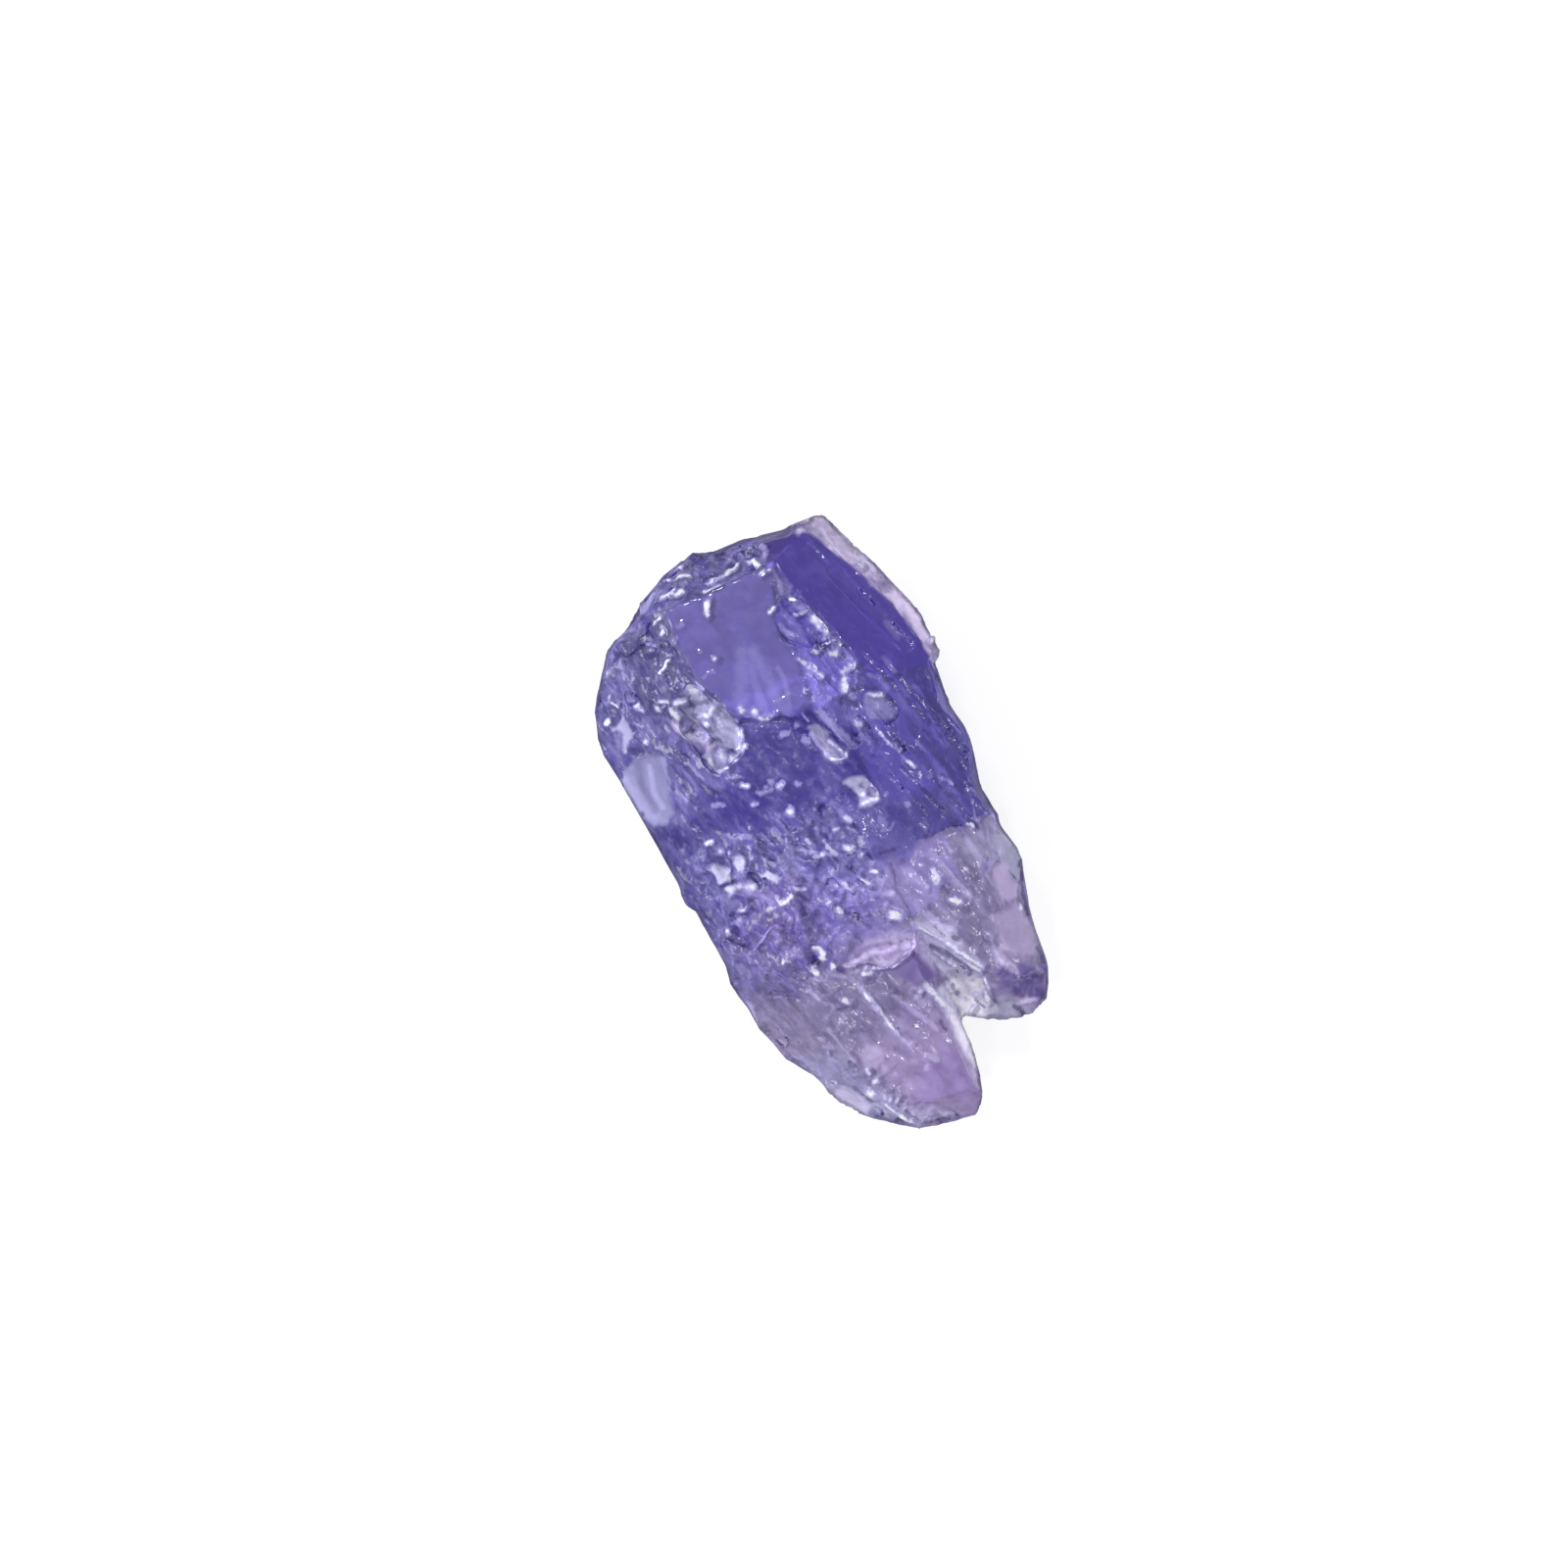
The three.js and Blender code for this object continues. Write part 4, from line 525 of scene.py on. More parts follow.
        (0.08, (0.55, 6.75), (0.6, 6.87)), (0.1, (0.78, 6.7), (0.92, 6.7)),
        (0.1, (1.15, 6.1), (1.08, 5.85)), (0.06, (0.75, 5.57), (0.85, 5.65), (0.95, 5.62)),
        (0.08, (1.65, 5.35), (1.75, 5.1)), (0.07, (1.8, 5.0), (1.87, 4.75), (1.97, 4.5)),
        (0.07, (1.45, 4.33), (1.75, 4.32)), (0.06, (-3.6, 3.7), (-3.1, 3.6)),
        (0.12, (-2.5, 2.9), (-2.4, 2.4), (-2.2, 2.05)), (0.08, (-2.6, 3.4), (-2.42, 3.05)),
        (0.06, (-2.12, 4.28), (-2.04, 3.9), (-1.95, 3.6)), (0.14, (-1.75, 4.22), (-1.5, 4.17)),
        (0.08, (-2.05, 4.55), (-1.8, 4.42)), (0.18, (-1.83, 3.55), (-1.8, 3.25), (-1.6, 3.2)),
        (0.12, (-1.62, 2.8)), (0.1, (-1.62, 2.8), (-1.46, 2.87), (-1.3, 2.78)),
        (0.1, (-1.7, 2.15), (-1.5, 2.1)), (0.14, (0.65, 2.85), (0.7, 2.7)), (0.1, (0.88, 2.4), (1.0, 2.05)),
        (0.1, (2.57, 2.5), (2.62, 2.25)), (0.12, (1.9, 1.85), (1.9, 1.6)), (0.13, (1.1, 0.8)),
        (0.1, (0.72, 0.95), (0.85, 0.65)), (0.07, (1.0, 0.27), (1.3, 0.24)),
        (0.08, (-2.95, -0.05), (-2.8, -0.05)), (0.07, (-1.97, -0.3), (-1.82, -0.45), (-1.72, -0.57)),
        (0.08, (-3.1, -0.9), (-2.8, -0.87)), (0.13, (-0.7, 0.06)), (0.12, (-0.15, 0.9), (0.0, 0.75)),
        (0.12, (0.33, -0.85)), (0.1, (0.1, -0.9)), (0.09, (-0.4, -2.0), (-0.25, -2.2), (-0.1, -2.38)),
        (0.12, (0.85, -0.85), (1.2, -0.92)), (0.12, (0.4, -2.3)), (0.06, (0.45, -2.45), (0.65, -2.55)),
        (0.07, (3.08, -0.85), (3.25, -1.2)),
        (0.08, (1.85, -0.93), (2.1, -0.97), (2.5, -0.97), (2.95, -1.05)), (0.14, (3.8, -1.4)),
        (0.14, (1.45, -2.5)), (0.06, (3.55, -2.5), (3.75, -3.0)),
        (0.1, (3.9, -2.6), (3.8, -2.95), (3.68, -3.35), (3.6, -3.65)),
        (0.12, (1.06, -3.42), (1.26, -3.63), (1.36, -3.83)),
        (0.06, (1.41, -3.83), (1.61, -4.23), (1.69, -4.38)), (0.06, (1.36, -3.02), (1.48, -3.32)),
        (0.08, (1.66, -3.42), (1.75, -3.52)), (0.05, (1.55, -5.1), (1.68, -5.35)),
        (0.08, (2.35, -5.6), (2.55, -5.95)), (0.12, (3.1, -5.2)), (0.12, (3.42, -4.5), (3.45, -4.9)),
        (0.08, (-1.6, -3.93), (-1.35, -3.95)), (0.1, (0.25, -4.27)), (0.1, (-0.8, -3.55), (-0.5, -3.6)),
        (0.1, (-2.0, -5.8), (-1.87, -6.1), (-1.77, -6.3)), (0.16, (-1.18, -6.3)),
        (0.1, (-1.1, -6.9), (-0.98, -7.1)), (0.1, (-1.42, -7.0), (-1.27, -7.1)), (0.16, (-1.75, -6.7)),
        (0.1, (-0.05, -7.4), (0.0, -7.55)), (0.1, (0.57, -5.2), (0.6, -5.4)),
        (0.08, (-1.3, -3.0), (-1.05, -3.1)), (0.1, (-1.6, -2.4), (-1.58, -2.6)),
        (0.1, (-0.15, -4.05), (-0.1, -4.1)), (0.08, (-0.75, -3.15), (-0.5, -3.2), (-0.3, -3.4)),
    ],
}

grainAngle = math.radians(crystal["grainLean"])
alongGrain = np.array([math.sin(grainAngle), -math.cos(grainAngle), 0.0])
acrossGrain = np.array([math.cos(grainAngle), math.sin(grainAngle), 0.0])


def ramp(values, start, full):                 # 0 up to start, 1 from full on
    return np.clip((values - start) / (full - start), 0, 1)


def hashed(cells, seed):                       # a number from 0 to 1 for each cell of a lattice
    mixed = cells[:, 0] * 374761393 + cells[:, 1] * 668265263 + cells[:, 2] * 974634777 + seed * 1274126177
    mixed &= 0xFFFFFFFF
    mixed = ((mixed ^ (mixed >> 13)) * 1103515245) & 0xFFFFFFFF
    mixed = ((mixed ^ (mixed >> 15)) * 1274126177) & 0xFFFFFFFF
    return ((mixed ^ (mixed >> 16)) & 0xFFFF) / 65535.0


def smoothNoise(points, size, seed):           # -1 to 1, smooth over `size` millimetres
    place = points / size
    cell = np.floor(place).astype(np.int64)
    part = place - cell
    part = part * part * (3 - 2 * part)
    total = np.zeros(len(points))
    for corner in itertools.product((0, 1), repeat=3):
        weight = np.prod(np.abs(1 - np.array(corner) - part), axis=1)
        total += weight * hashed(cell + corner, seed)
    return total * 2 - 1


def layeredNoise(points, layers):
    return sum(smoothNoise(points, size, seed) * share for size, seed, share in layers)


def scoops(points, size, seed):                # height of a surface of shallow scoops, sharp where they meet
    place = points / size
    base = np.floor(place).astype(np.int64)
    lowest = np.full(len(points), 1e9)
    for corner in itertools.product((-1, 0, 1), repeat=3):
        cell = base + corner
        away = np.stack([place[:, i] - cell[:, i] - hashed(cell, seed + i) for i in range(3)], 1)
        slope = np.stack([hashed(cell, seed + 3 + i) - 0.5 for i in range(3)], 1)
        height = (away * slope).sum(1) * crystal["scoopTilt"] + (away * away).sum(1) / 2
        lowest = np.minimum(lowest, height + crystal["scoopSpread"] * hashed(cell, seed + 6))
    return (lowest - crystal["scoopSink"]) * size * crystal["scoopDepth"]


def fracture(points, stretch, seed):           # scoops of two sizes, drawn out along the grain
    squeezed = points - np.outer(points @ alongGrain, alongGrain) * (1 - 1 / stretch)
    coarse = scoops(squeezed, crystal["coarseScoop"], seed)
    return coarse * crystal["coarseShare"] + scoops(squeezed, crystal["fineScoop"], seed + 10)


def lineDistance(points, first, second):
    run = np.subtract(second, first)
    t = np.clip((points[:, :2] - first) @ run / (run @ run), 0, 1)
    return np.hypot(*(points[:, :2] - first - t[:, None] * run).T)


def patchMask(points, outline, shake, soft):   # 1 inside a patch, 0 outside
    outline = np.array(outline)
    inside = np.zeros(len(points), bool)
    nearest = np.full(len(points), 1e9)
    for first, second in zip(outline, np.roll(outline, -1, 0)):
        spans = (first[1] > points[:, 1]) != (second[1] > points[:, 1])
        rise = second[1] - first[1] or 1e-9
        crossing = (second[0] - first[0]) * (points[:, 1] - first[1]) / rise + first[0]
        inside ^= spans & (points[:, 0] < crossing)
        nearest = np.minimum(nearest, lineDistance(points, first, second))
    depth = np.where(inside, nearest, -nearest) + shake * (1 + crystal["softShake"] * soft)
    return np.clip(depth / soft + 0.5, 0, 1)


def strokeMask(points, group, shake):          # 1 along the middle of each stroke, 0 at its reach
    best = np.zeros(len(points))
    least, most = crystal["strokeReach"]
    for number, (width, *line) in enumerate(group):
        line = np.array(line)
        vary = float(hashed(np.array([[number, 0, 0]]), crystal["strokeSeed"])[0])
        reach = width * (least + (most - least) * vary)
        within = (points[:, :2] > line.min(0) - reach) & (points[:, :2] < line.max(0) + reach)
        close = np.flatnonzero(within.all(1))
        near, wander = points[close], shake[close] * crystal["strokeShake"]
        if len(line) == 1:
            away = np.hypot(*(near[:, :2] - line[0]).T)
        else:
            away = np.minimum.reduce([lineDistance(near, *pair) for pair in zip(line, line[1:])])
        best[close] = np.maximum(best[close], 1 - (away + wander) / reach)
    return best


def crystalSkin():                             # a fine, even mesh laid on the solid
    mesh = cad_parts["crystal"].data.copy()
    mesh.transform(Matrix.Scale(1 / mm, 4))
    solid = bpy.data.objects.new("crystalSolid", mesh)
    skin = bpy.data.objects.new("crystalSkin", mesh.copy())
    for item in (solid, skin):
        bpy.context.scene.collection.objects.link(item)
    remesh = skin.modifiers.new("remesh", "REMESH")
    remesh.mode, remesh.voxel_size = "VOXEL", crystal["voxel"]
    bm = bmesh.new()
    bm.from_object(skin, bpy.context.evaluated_depsgraph_get())
    bm.normal_update()
    front = {edge for face in bm.faces if face.normal.z > crystal["frontSlope"] for edge in face.edges}
    bmesh.ops.subdivide_edges(bm, edges=list(front), cuts=1, use_grid_fill=True)
    bmesh.ops.triangulate(bm, faces=[face for face in bm.faces if len(face.verts) > 4])
    skin.modifiers.clear()
    bm.to_mesh(skin.data)
    bm.free()
    wrap = skin.modifiers.new("wrap", "SHRINKWRAP")
    wrap.target = solid
    wrapped = bpy.data.meshes.new_from_object(skin.evaluated_get(bpy.context.evaluated_depsgraph_get()))
    skin.modifiers.clear()
    skin.data = wrapped
    bpy.data.objects.remove(solid)
    print("crystal skin:", len(wrapped.vertices), "points")
    return skin


def readVectors(collection, name):
    flat = np.empty(len(collection) * 3)
    collection.foreach_get(name, flat)
    return flat.reshape(-1, 3)


def edgeEnds(mesh):
    ends = np.empty(len(mesh.edges) * 2, np.int64)
    mesh.edges.foreach_get("vertices", ends)
    return ends.reshape(-1, 2).T


def soften(mesh, values, share, rounds):       # evens values out over the mesh where share is 1
    a, b = edgeEnds(mesh)
    size = len(values)
    count = np.bincount(a, minlength=size) + np.bincount(b, minlength=size)
    step = np.reshape(share, (-1, 1)) * crystal["softenStep"]
    for _ in range(rounds):
        total = np.stack([np.bincount(a, column[b], size) + np.bincount(b, column[a], size)
                          for column in values.T], 1)
        values = values + (total / count[:, None] - values) * step
    return values


def outlineDistance(mesh, points, upward):     # millimetres to the outline of the crystal, seen from above
    a, b = edgeEnds(mesh)
    cells = np.floor(points[:, :2] / crystal["planCell"]).astype(int)
    cells -= cells.min(0) - 1
    empty = np.ones(cells.max(0) + 2, bool)
    empty[tuple(cells.T)] = False
    ways = itertools.product((-1, 0, 1), repeat=2)
    beside = np.any([empty[tuple((cells + way).T)] for way in ways], axis=0)
    turns = ((upward[a] > 0) != (upward[b] > 0)) & beside[a]
    a, b = a[turns], b[turns]
    outline = points[a] + (points[b] - points[a]) * (upward[a] / (upward[a] - upward[b]))[:, None]
    tree = KDTree(len(outline))
    for number, (x, y, z) in enumerate(outline):
        tree.insert((x, y, 0), number)
    tree.balance()
    return np.array([tree.find((x, y, 0))[2] for x, y in points[:, :2]])


def wornPoints(mesh, points, shake):           # the ledges of the stepped floor and of the trough worn down
    worn = np.maximum.reduce([patchMask(points, outline, shake, crystal["evenSoft"])
                              for outline in crystal["evenGround"]])
    trough = patchMask(points, patches["trough"]["outline"], shake, crystal["troughSoft"])
    share = np.maximum(worn, trough * crystal["rounding"]) * (points[:, 2] > crystal["floorHeight"])
    return soften(mesh, points, share, crystal["wearRounds"])


def paintPatches(points, shake, seen, lobes):  # colour, haze, roughness, and the area of each patch
    tone = np.tile(tanzanite["body"][:3], (len(points), 1))
    tone += (np.array(tanzanite["lilac"][:3]) - tone) * lobes[:, None]
    haze, rough = np.full(len(points), crystal["haze"]), np.full(len(points), crystal["rough"])
    area = {}
    for name, patch in patches.items():
        outlines = patch["outline"] if isinstance(patch["outline"][0], list) else [patch["outline"]]
        soft = patch.get("soft", crystal["edgeSoft"])
        mask = np.maximum.reduce([patchMask(points, outline, shake, soft) for outline in outlines]) * seen
        tone += (np.array(tanzanite[patch["colour"]][:3]) - tone) * (mask * patch.get("share", 1))[:, None]
        haze += (patch.get("haze", crystal["haze"]) - haze) * mask
        rough += (patch["broken"] - rough) * mask
        area[name] = mask
    return tone, haze, rough, area


def carvedHeight(points, upward, rough, area, line):       # millimetres out of the surface
    carved = rough * ramp(points[:, 2], *crystal["restFade"])
    carved *= np.maximum(ramp(np.abs(upward), *crystal["edgeFade"]), crystal["edgeCarve"])
    broken = fracture(points, crystal["grainStretch"], crystal["fractureSeed"])
    hackly = fracture(points, crystal["hacklyStretch"], crystal["hacklySeed"])
    broken += (hackly - broken) * np.maximum(area["hackly"], area["lowHackly"])
    turned = np.stack([points @ acrossGrain, points @ alongGrain, points[:, 2]], 1)
    fibres = layeredNoise(turned * crystal["streakSqueeze"], crystal["fibreNoise"])
    striated = np.maximum(area["striatedFace"], area["prismFace"] * crystal["prismStriation"])
    ripple = layeredNoise(points, crystal["rippleNoise"])
    height = carved * broken + crystal["striation"] * (fibres - 1) * striated
    height += crystal["ripple"] * (ripple - 1) * ramp(points[:, 2], *crystal["rippleFade"])
    height = np.clip(height, *crystal["carveSpan"])
    bright, pale, dark = (ramp(line[name], *crystal["ridgeFade"]) for name in ("bright", "pale", "dark"))
    height += crystal["wingSwell"] * area["wing"]
    height += crystal["ridgeHeight"] * (bright + crystal["paleRidge"] * pale) - crystal["crackDepth"] * dark
    return height


def carveCrystal(skin):                        # shapes the skin and stores what its material reads
    mesh = skin.data
    points = readVectors(mesh.vertices, "co")
    shake = crystal["edgeShake"] * layeredNoise(points, crystal["shakeNoise"])
    points = wornPoints(mesh, points, shake)
    mesh.vertices.foreach_set("co", points.ravel())
    mesh.update()
    normals = readVectors(mesh.vertices, "normal")
    upward = normals[:, 2]
    facing = soften(mesh, normals, 1, crystal["wallBlend"])[:, 2]
    wall = 1 - ramp(np.abs(facing), *crystal["wallEnd"])
    front = ramp(facing, *crystal["frontFade"])
    inner = np.maximum.reduce([patchMask(points, patches[name]["outline"], shake, crystal["innerSoft"])
                               for name in ("trough", "bundle", "web")])
    inner *= ramp(upward, *crystal["innerFade"])            # steep faces between the ledges of the front
    seen = np.maximum(ramp(facing, *crystal["seenFade"]), inner)
    marked = np.maximum(front, inner)
    lobes = ramp(-points[:, 1], *crystal["lobeFade"])

    tone, haze, rough, area = paintPatches(points, shake - crystal["wallGap"] * (1 - marked), seen, lobes)
    # painted shade: steep walls darker, except on the wing and the lobes
    tone *= 1 - crystal["wallShade"] * (wall * (1 - np.maximum(area["wing"], lobes)))[:, None]
    matte = np.maximum.reduce([mask * patches[name].get("matte", 0) for name, mask in area.items()])
    line = {name: strokeMask(points, group, shake) * marked for name, group in strokes.items()}
    # painted shadow: the bright strokes shifted to their dark side
    shaded = strokeMask(points - (*crystal["shadeShift"], 0), strokes["bright"], shake) * marked
    # a painted dark line of shade along the outline, seen from above
    rim = 1 - ramp(outlineDistance(mesh, points, upward), *crystal["rimEnd"])
    rim *= (upward > crystal["rimFacing"])
    rim *= np.clip(crystal["rimStrength"] + layeredNoise(points, crystal["rimNoise"]), 0, 1)

    points += normals * carvedHeight(points, upward, rough, area, line)[:, None]
    points[:, 2] = np.clip(points[:, 2], 0, cadBox[1][2] / mm)
    mesh.vertices.foreach_set("co", (points * mm).ravel())
    mesh.update()
    print("crystal carved:", sum(len(face.vertices) - 2 for face in mesh.polygons), "triangles")

    thin = (1 - ramp(points[:, 2], *crystal["thinEnd"])) * ramp(points[:, 1], *crystal["thinFade"]) * seen
    steep = 1 - np.where(facing > 0, ramp(np.abs(facing), *crystal["steepFrontEnd"]),
                         ramp(np.abs(facing), *crystal["steepBackEnd"]))
    side = (1 - ramp(np.abs(upward), *crystal["wallEnd"])) * ramp(upward, *crystal["sideFade"])
    attribute = mesh.attributes.new("tone", "FLOAT_COLOR", "POINT")
    colours = np.column_stack([tone, np.ones(len(points))])
    attribute.data.foreach_set("color", colours.astype(np.float32).ravel())
    masks = {
        **line,
        "shaded": (shaded - line["bright"]) * 2,
        "hazy": haze + (crystal["thinHaze"] - haze) * np.maximum(thin, steep),
        "back": 1 - front,
        "broken": np.maximum(rough, crystal["backRough"] * (1 - front)),
        "rim": rim,
        "side": np.maximum(side, matte),
    }
    for name, values in masks.items():
        attribute = mesh.attributes.new(name, "FLOAT", "POINT")
        attribute.data.foreach_set("value", np.clip(values, 0, 1).astype(np.float32))


class Socket:                                  # a number in a material, with the usual operators
    def __init__(self, material, socket):
        self.material, self.socket = material, socket

    def math(self, operation, *values):
        inputs = dict(enumerate((self, *values)))
        return self.material.number("ShaderNodeMath", {"operation": operation}, inputs)

    def __add__(self, other):
        return self.math("ADD", other)

    def __sub__(self, other):
        return self.math("SUBTRACT", other)

    def __rsub__(self, other):
        return (self * -1).math("ADD", other)

    def __mul__(self, other):
        return self.math("MULTIPLY", other)

    __radd__, __rmul__ = __add__, __mul__

    def between(self, low, high):              # 0 below low, 1 above high
        return self.material.number("ShaderNodeMapRange", {"interpolation_type": "SMOOTHSTEP"},
                                    {"Value": self, "From Min": low, "From Max": high})


class Finish:                                  # a material and its nodes
    def __init__(self, name):
        self.material = bpy.data.materials.new(name)
        self.material.use_nodes = True
        self.tree = self.material.node_tree
        self.tree.nodes.clear()

    def add(self, kind, settings=None, sockets=None):
        node = self.tree.nodes.new(kind)
        for name, value in (settings or {}).items():
            setattr(node, name, value)
        for name, value in (sockets or {}).items():
            value = value.socket if isinstance(value, Socket) else value
            if isinstance(value, bpy.types.NodeSocket):
                self.tree.links.new(value, node.inputs[name])
            else:
                node.inputs[name].default_value = value
        return node

    def number(self, kind, settings=None, sockets=None, output=0):
        return Socket(self, self.add(kind, settings, sockets).outputs[output])

    def mask(self, name):
        return self.number("ShaderNodeAttribute", {"attribute_name": name}, output="Fac")

    def blend(self, factor, first, second, way="MIX"):
        return self.add("ShaderNodeMix", {"data_type": "RGBA", "blend_type": way}, {
            0: factor, 6: first, 7: second}).outputs[2]

    def vector(self, operation, *values):
        inputs = dict(enumerate(values))
        return self.add("ShaderNodeVectorMath", {"operation": operation}, inputs).outputs[0]


def tanzaniteFinish():
    finish = Finish("tanzanite")
    place = finish.add("ShaderNodeTexCoord").outputs["Object"]

    def drawnOut(stretch):                     # millimetres, with the grain pressed together
        return finish.add("ShaderNodeMapping", {"vector_type": "TEXTURE"}, {
            "Vector": place, "Rotation": (0, 0, grainAngle), "Scale": (mm, stretch * mm, mm)}).outputs[0]

    def cells(where, size):
        return finish.add("ShaderNodeTexVoronoi", {"feature": "F1"}, {"Vector": where, "Scale": 1 / size})

    def chance(cell):                          # one number for each cell
        return finish.number("ShaderNodeSeparateColor", None, {"Color": cell.outputs["Color"]})

    noise = {}
    for name, (stretch, scale, detail) in tanzanite["noises"].items():
        noise[name] = finish.number("ShaderNodeTexNoise", None, {
            "Vector": drawnOut(stretch), "Scale": scale, "Detail": detail,
            "Roughness": tanzanite["noiseRoughness"]})
    grit, clusters = noise["grit"], noise["clusters"]
    noise["mottle"] = noise["speckle"] * 0.5 + grit * 0.5
    broken, back, rim, haze = (finish.mask(name) for name in ("broken", "back", "rim", "hazy"))

    # chips: painted glints, small white specks scattered over broken faces
    chips = cells(drawnOut(tanzanite["chipStretch"]), tanzanite["chipSize"])
    shard = chance(cells(drawnOut(tanzanite["shardStretch"]), tanzanite["shardSize"]))
    ragged = (shard - 0.5) * tanzanite["shardFray"] + (grit - 0.5) * tanzanite["gritFray"]
    within = (ragged + 1) * tanzanite["chipReach"] - Socket(finish, chips.outputs["Distance"])
    fade = tanzanite["chipFade"]
    chipGlint = chance(chips).between(*fade["chance"]) * within.between(*fade["edge"]) * (1 - back)
    chipGlint = chipGlint * clusters.between(*fade["clusters"]) * broken.between(*fade["broken"])

    colour = finish.add("ShaderNodeAttribute", {"attribute_name": "tone"}).outputs["Color"]
    least, added = tanzanite["contrast"]
    contrast = broken * added + least
    for name, share in tanzanite["grounds"].items():
        light, dim = (field.between(*tanzanite["groundFade"]) for field in (noise[name], 1 - noise[name]))
        colour = finish.blend(light * contrast * share, colour, tanzanite["lift"], "ADD")
        colour = finish.blend(dim * contrast * share, colour, tanzanite["gloom"], "MULTIPLY")
    stroke = {}
    for name, (fray, fade, share, paint, way) in tanzanite["paint"].items():
        stroke[name] = finish.mask(name)
        near = stroke[name].between(*tanzanite["frayFade"]) if name in tanzanite["frayed"] else 1
        stroke[name] = stroke[name] + ragged * fray * near
        colour = finish.blend(stroke[name].between(*fade) * share, colour, tanzanite[paint], way)
    # painted highlights: glints along the bright strokes and on chips, and pure white sparks
    bright, spots, share = stroke["bright"], tanzanite["glintSpots"], tanzanite["spotShare"]
    spotted = clusters.between(*spots["clusters"]) + noise["mottle"].between(*spots["mottle"])
    glint = bright.between(*tanzanite["glintFade"]) * (spotted * share + (1 - 2 * share))
    white = glint + chipGlint * tanzanite["chipShare"]
    colour = finish.blend(white, colour, tanzanite["bright"])
    spark = grit.between(*tanzanite["sparkGrit"]) * share + (1 - share)
    spark = bright.between(*tanzanite["sparkFade"]) * spark
    colour = finish.blend(spark, colour, tanzanite["spark"])
    # the painted line of shade along the outline
    colour = finish.blend(rim * tanzanite["outlineShadeShare"], colour, tanzanite["edge"])
    tint = finish.add("ShaderNodeGamma", None, {"Color": colour, "Gamma": tanzanite["clearness"]}).outputs[0]

    facets = cells(drawnOut(tanzanite["facetStretch"]), tanzanite["facetSize"]).outputs["Color"]
    lean = finish.vector("ADD", *(finish.vector("SUBTRACT", colours, (0.5, 0.5, 0.5))
                                  for colours in (facets, chips.outputs["Color"])))
    lean = finish.add("ShaderNodeVectorMath", {"operation": "SCALE"}, {
        0: lean, "Scale": broken * tanzanite["facetTilt"]}).outputs[0]
    smooth = finish.add("ShaderNodeNewGeometry").outputs["Normal"]
    least = tanzanite["bumpLeast"]
    bump = finish.add("ShaderNodeBump", None, {
        "Height": grit * (broken * (1 - least) + least), "Strength": tanzanite["bumpStrength"],
        "Distance": tanzanite["bumpDepth"] * mm,
        "Normal": finish.vector("NORMALIZE", finish.vector("ADD", smooth, lean))}).outputs[0]

    polished, whereBroken, onBack = tanzanite["clearRough"]
    clear = finish.add("ShaderNodeBsdfPrincipled", None, {
        "Base Color": tint, "Roughness": broken * whereBroken + polished + back * onBack,
        "IOR": tanzanite["ior"], "Transmission Weight": 1.0, "Normal": bump})
    milky = finish.add("ShaderNodeBsdfPrincipled", None, {
        "Base Color": colour, "Roughness": tanzanite["milkyRough"], "IOR": tanzanite["ior"],
        "Transmission Weight": tanzanite["milkyClear"], "Specular IOR Level": tanzanite["milkyGloss"],
        "Normal": bump})
    matte = finish.add("ShaderNodeBsdfPrincipled", None, {
        "Base Color": colour, "Roughness": tanzanite["matteRough"],
        "Specular IOR Level": tanzanite["matteGloss"], "Normal": bump})
    dark = stroke["dark"].between(*tanzanite["paint"]["dark"][1]) * tanzanite["darkCover"]
    cover = finish.number("ShaderNodeClamp", None, {"Value": white + rim + dark})
    surface = finish.add("ShaderNodeMixShader", None, {
        0: haze + cover * (1 - haze), 1: clear.outputs[0], 2: milky.outputs[0]})
    surface = finish.add("ShaderNodeMixShader", None, {
        0: finish.mask("side"), 1: surface.outputs[0], 2: matte.outputs[0]})
    inside = finish.add("ShaderNodeVolumeAbsorption", None, {
        "Color": (*tanzanite["absorption"], 1), "Density": tanzanite["density"]})
    finish.add("ShaderNodeOutputMaterial", None, {"Surface": surface.outputs[0], "Volume": inside.outputs[0]})
    return finish.material


skin = crystalSkin()
carveCrystal(skin)
skin.data.materials.clear()
skin.data.materials.append(tanzaniteFinish())
skin.data.shade_smooth()
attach(skin, "root")
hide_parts("crystal")

studio = {
    "frameWidth": 38.1,             # mm across the view, at the height of the crystal's girdle
    "girdle": 2.8,
    "roll": 24.0,                   # degrees that the crystal leans in the view
    "aim": (-1.18, 1.24),           # mm from the crystal's middle to the view's, along its right and up
    "distance": 160.0,
    "clip": (0.005, 10),            # metres
    "floorSize": 1.2,               # metres
    "floorWhite": 0.3, "floorGlow": 0.75, "floorRough": 0.9,
    "world": (0.93, 0.95, 1.0), "worldStrength": 0.7,
    # radiance, width in mm, azimuth, elevation and distance in mm
    "lights": {
        "softbox": (7.0, 170, 150, 30, 300),
        "glintA": (120.0, 14, 100, 66, 250),
        "glintB": (120.0, 14, 200, 60, 250),
        "glintC": (120.0, 14, 320, 58, 250),
        "glintD": (120.0, 14, 30, 48, 250),
        "glintE": (120.0, 14, 260, 75, 250),
    },
    "bounces": {"max": 16, "transmission": 14, "glossy": 8, "diffuse": 4},
}


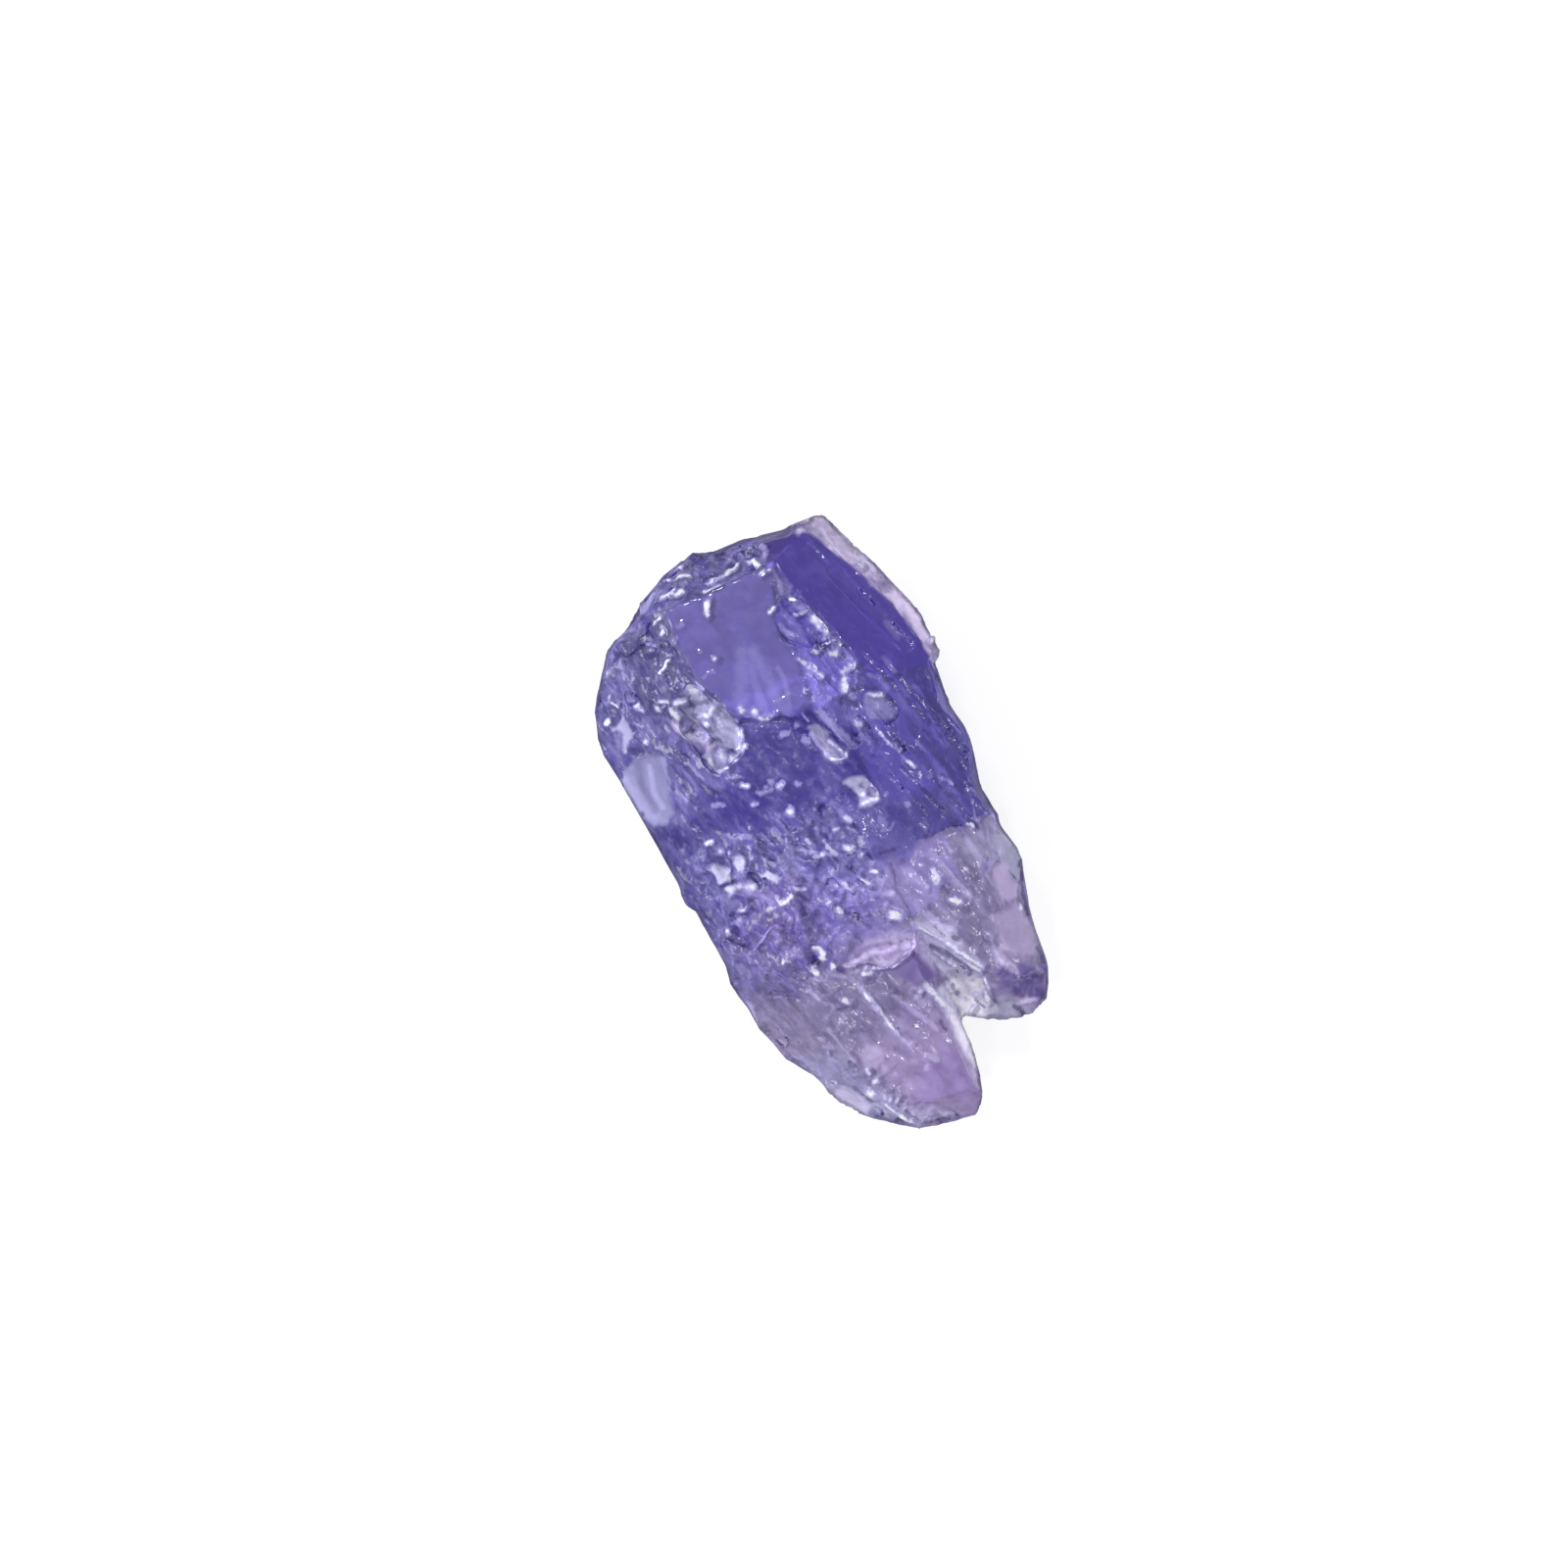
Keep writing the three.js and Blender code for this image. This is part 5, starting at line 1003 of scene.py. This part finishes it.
def addCamera():
    turn = math.radians(studio["roll"])
    right = Vector((math.cos(turn), -math.sin(turn), 0))
    up = Vector((math.sin(turn), math.cos(turn), 0))
    data = bpy.data.cameras.new("camera")
    data.lens = data.sensor_width * studio["distance"] / studio["frameWidth"]
    data.clip_start, data.clip_end = studio["clip"]
    camera = bpy.data.objects.new("camera", data)
    aim = right * studio["aim"][0] + up * studio["aim"][1]
    camera.location = (aim + Vector((0, 0, studio["girdle"] + studio["distance"]))) * mm
    camera.rotation_euler = (0, 0, -turn)
    bpy.context.scene.collection.objects.link(camera)
    bpy.context.scene.camera = camera


def addFloor():
    bpy.ops.mesh.primitive_plane_add(size=studio["floorSize"], location=(0, 0, 0))
    floor = bpy.context.object
    floor.name = "floor"
    finish = Finish("floorWhite")
    white = (studio["floorWhite"],) * 3 + (1,)
    surface = finish.add("ShaderNodeBsdfPrincipled", None, {
        "Base Color": white, "Roughness": studio["floorRough"], "Specular IOR Level": 0.0,
        "Emission Color": (1, 1, 1, 1), "Emission Strength": studio["floorGlow"]})
    finish.add("ShaderNodeOutputMaterial", None, {"Surface": surface.outputs[0]})
    floor.data.materials.append(finish.material)


def addLight(name, radiance, size, azimuth, elevation, distance):
    data = bpy.data.lights.new(name, "AREA")
    data.shape, data.size = "DISK", size * mm
    data.energy = radiance * math.pi * math.pi * (size * mm / 2) ** 2
    light = bpy.data.objects.new(name, data)
    a, e = math.radians(azimuth), math.radians(elevation)
    way = Vector((math.cos(a) * math.cos(e), math.sin(a) * math.cos(e), math.sin(e)))
    light.location = way * distance * mm
    light.rotation_euler = (-way).to_track_quat("-Z", "Y").to_euler()
    bpy.context.scene.collection.objects.link(light)


addCamera()
addFloor()
for name, numbers in studio["lights"].items():
    addLight(name, *numbers)
scene = bpy.context.scene
world = bpy.data.worlds.new("world")
scene.world = world
world.use_nodes = True
background = world.node_tree.nodes["Background"]
background.inputs["Color"].default_value = (*studio["world"], 1)
background.inputs["Strength"].default_value = studio["worldStrength"]
scene.view_settings.view_transform = "Standard"
for kind, bounces in studio["bounces"].items():
    setattr(scene.cycles, kind + "_bounces", bounces)
scene.cycles.use_denoising = True
print("studio set")

bpy.context.view_layer.update()
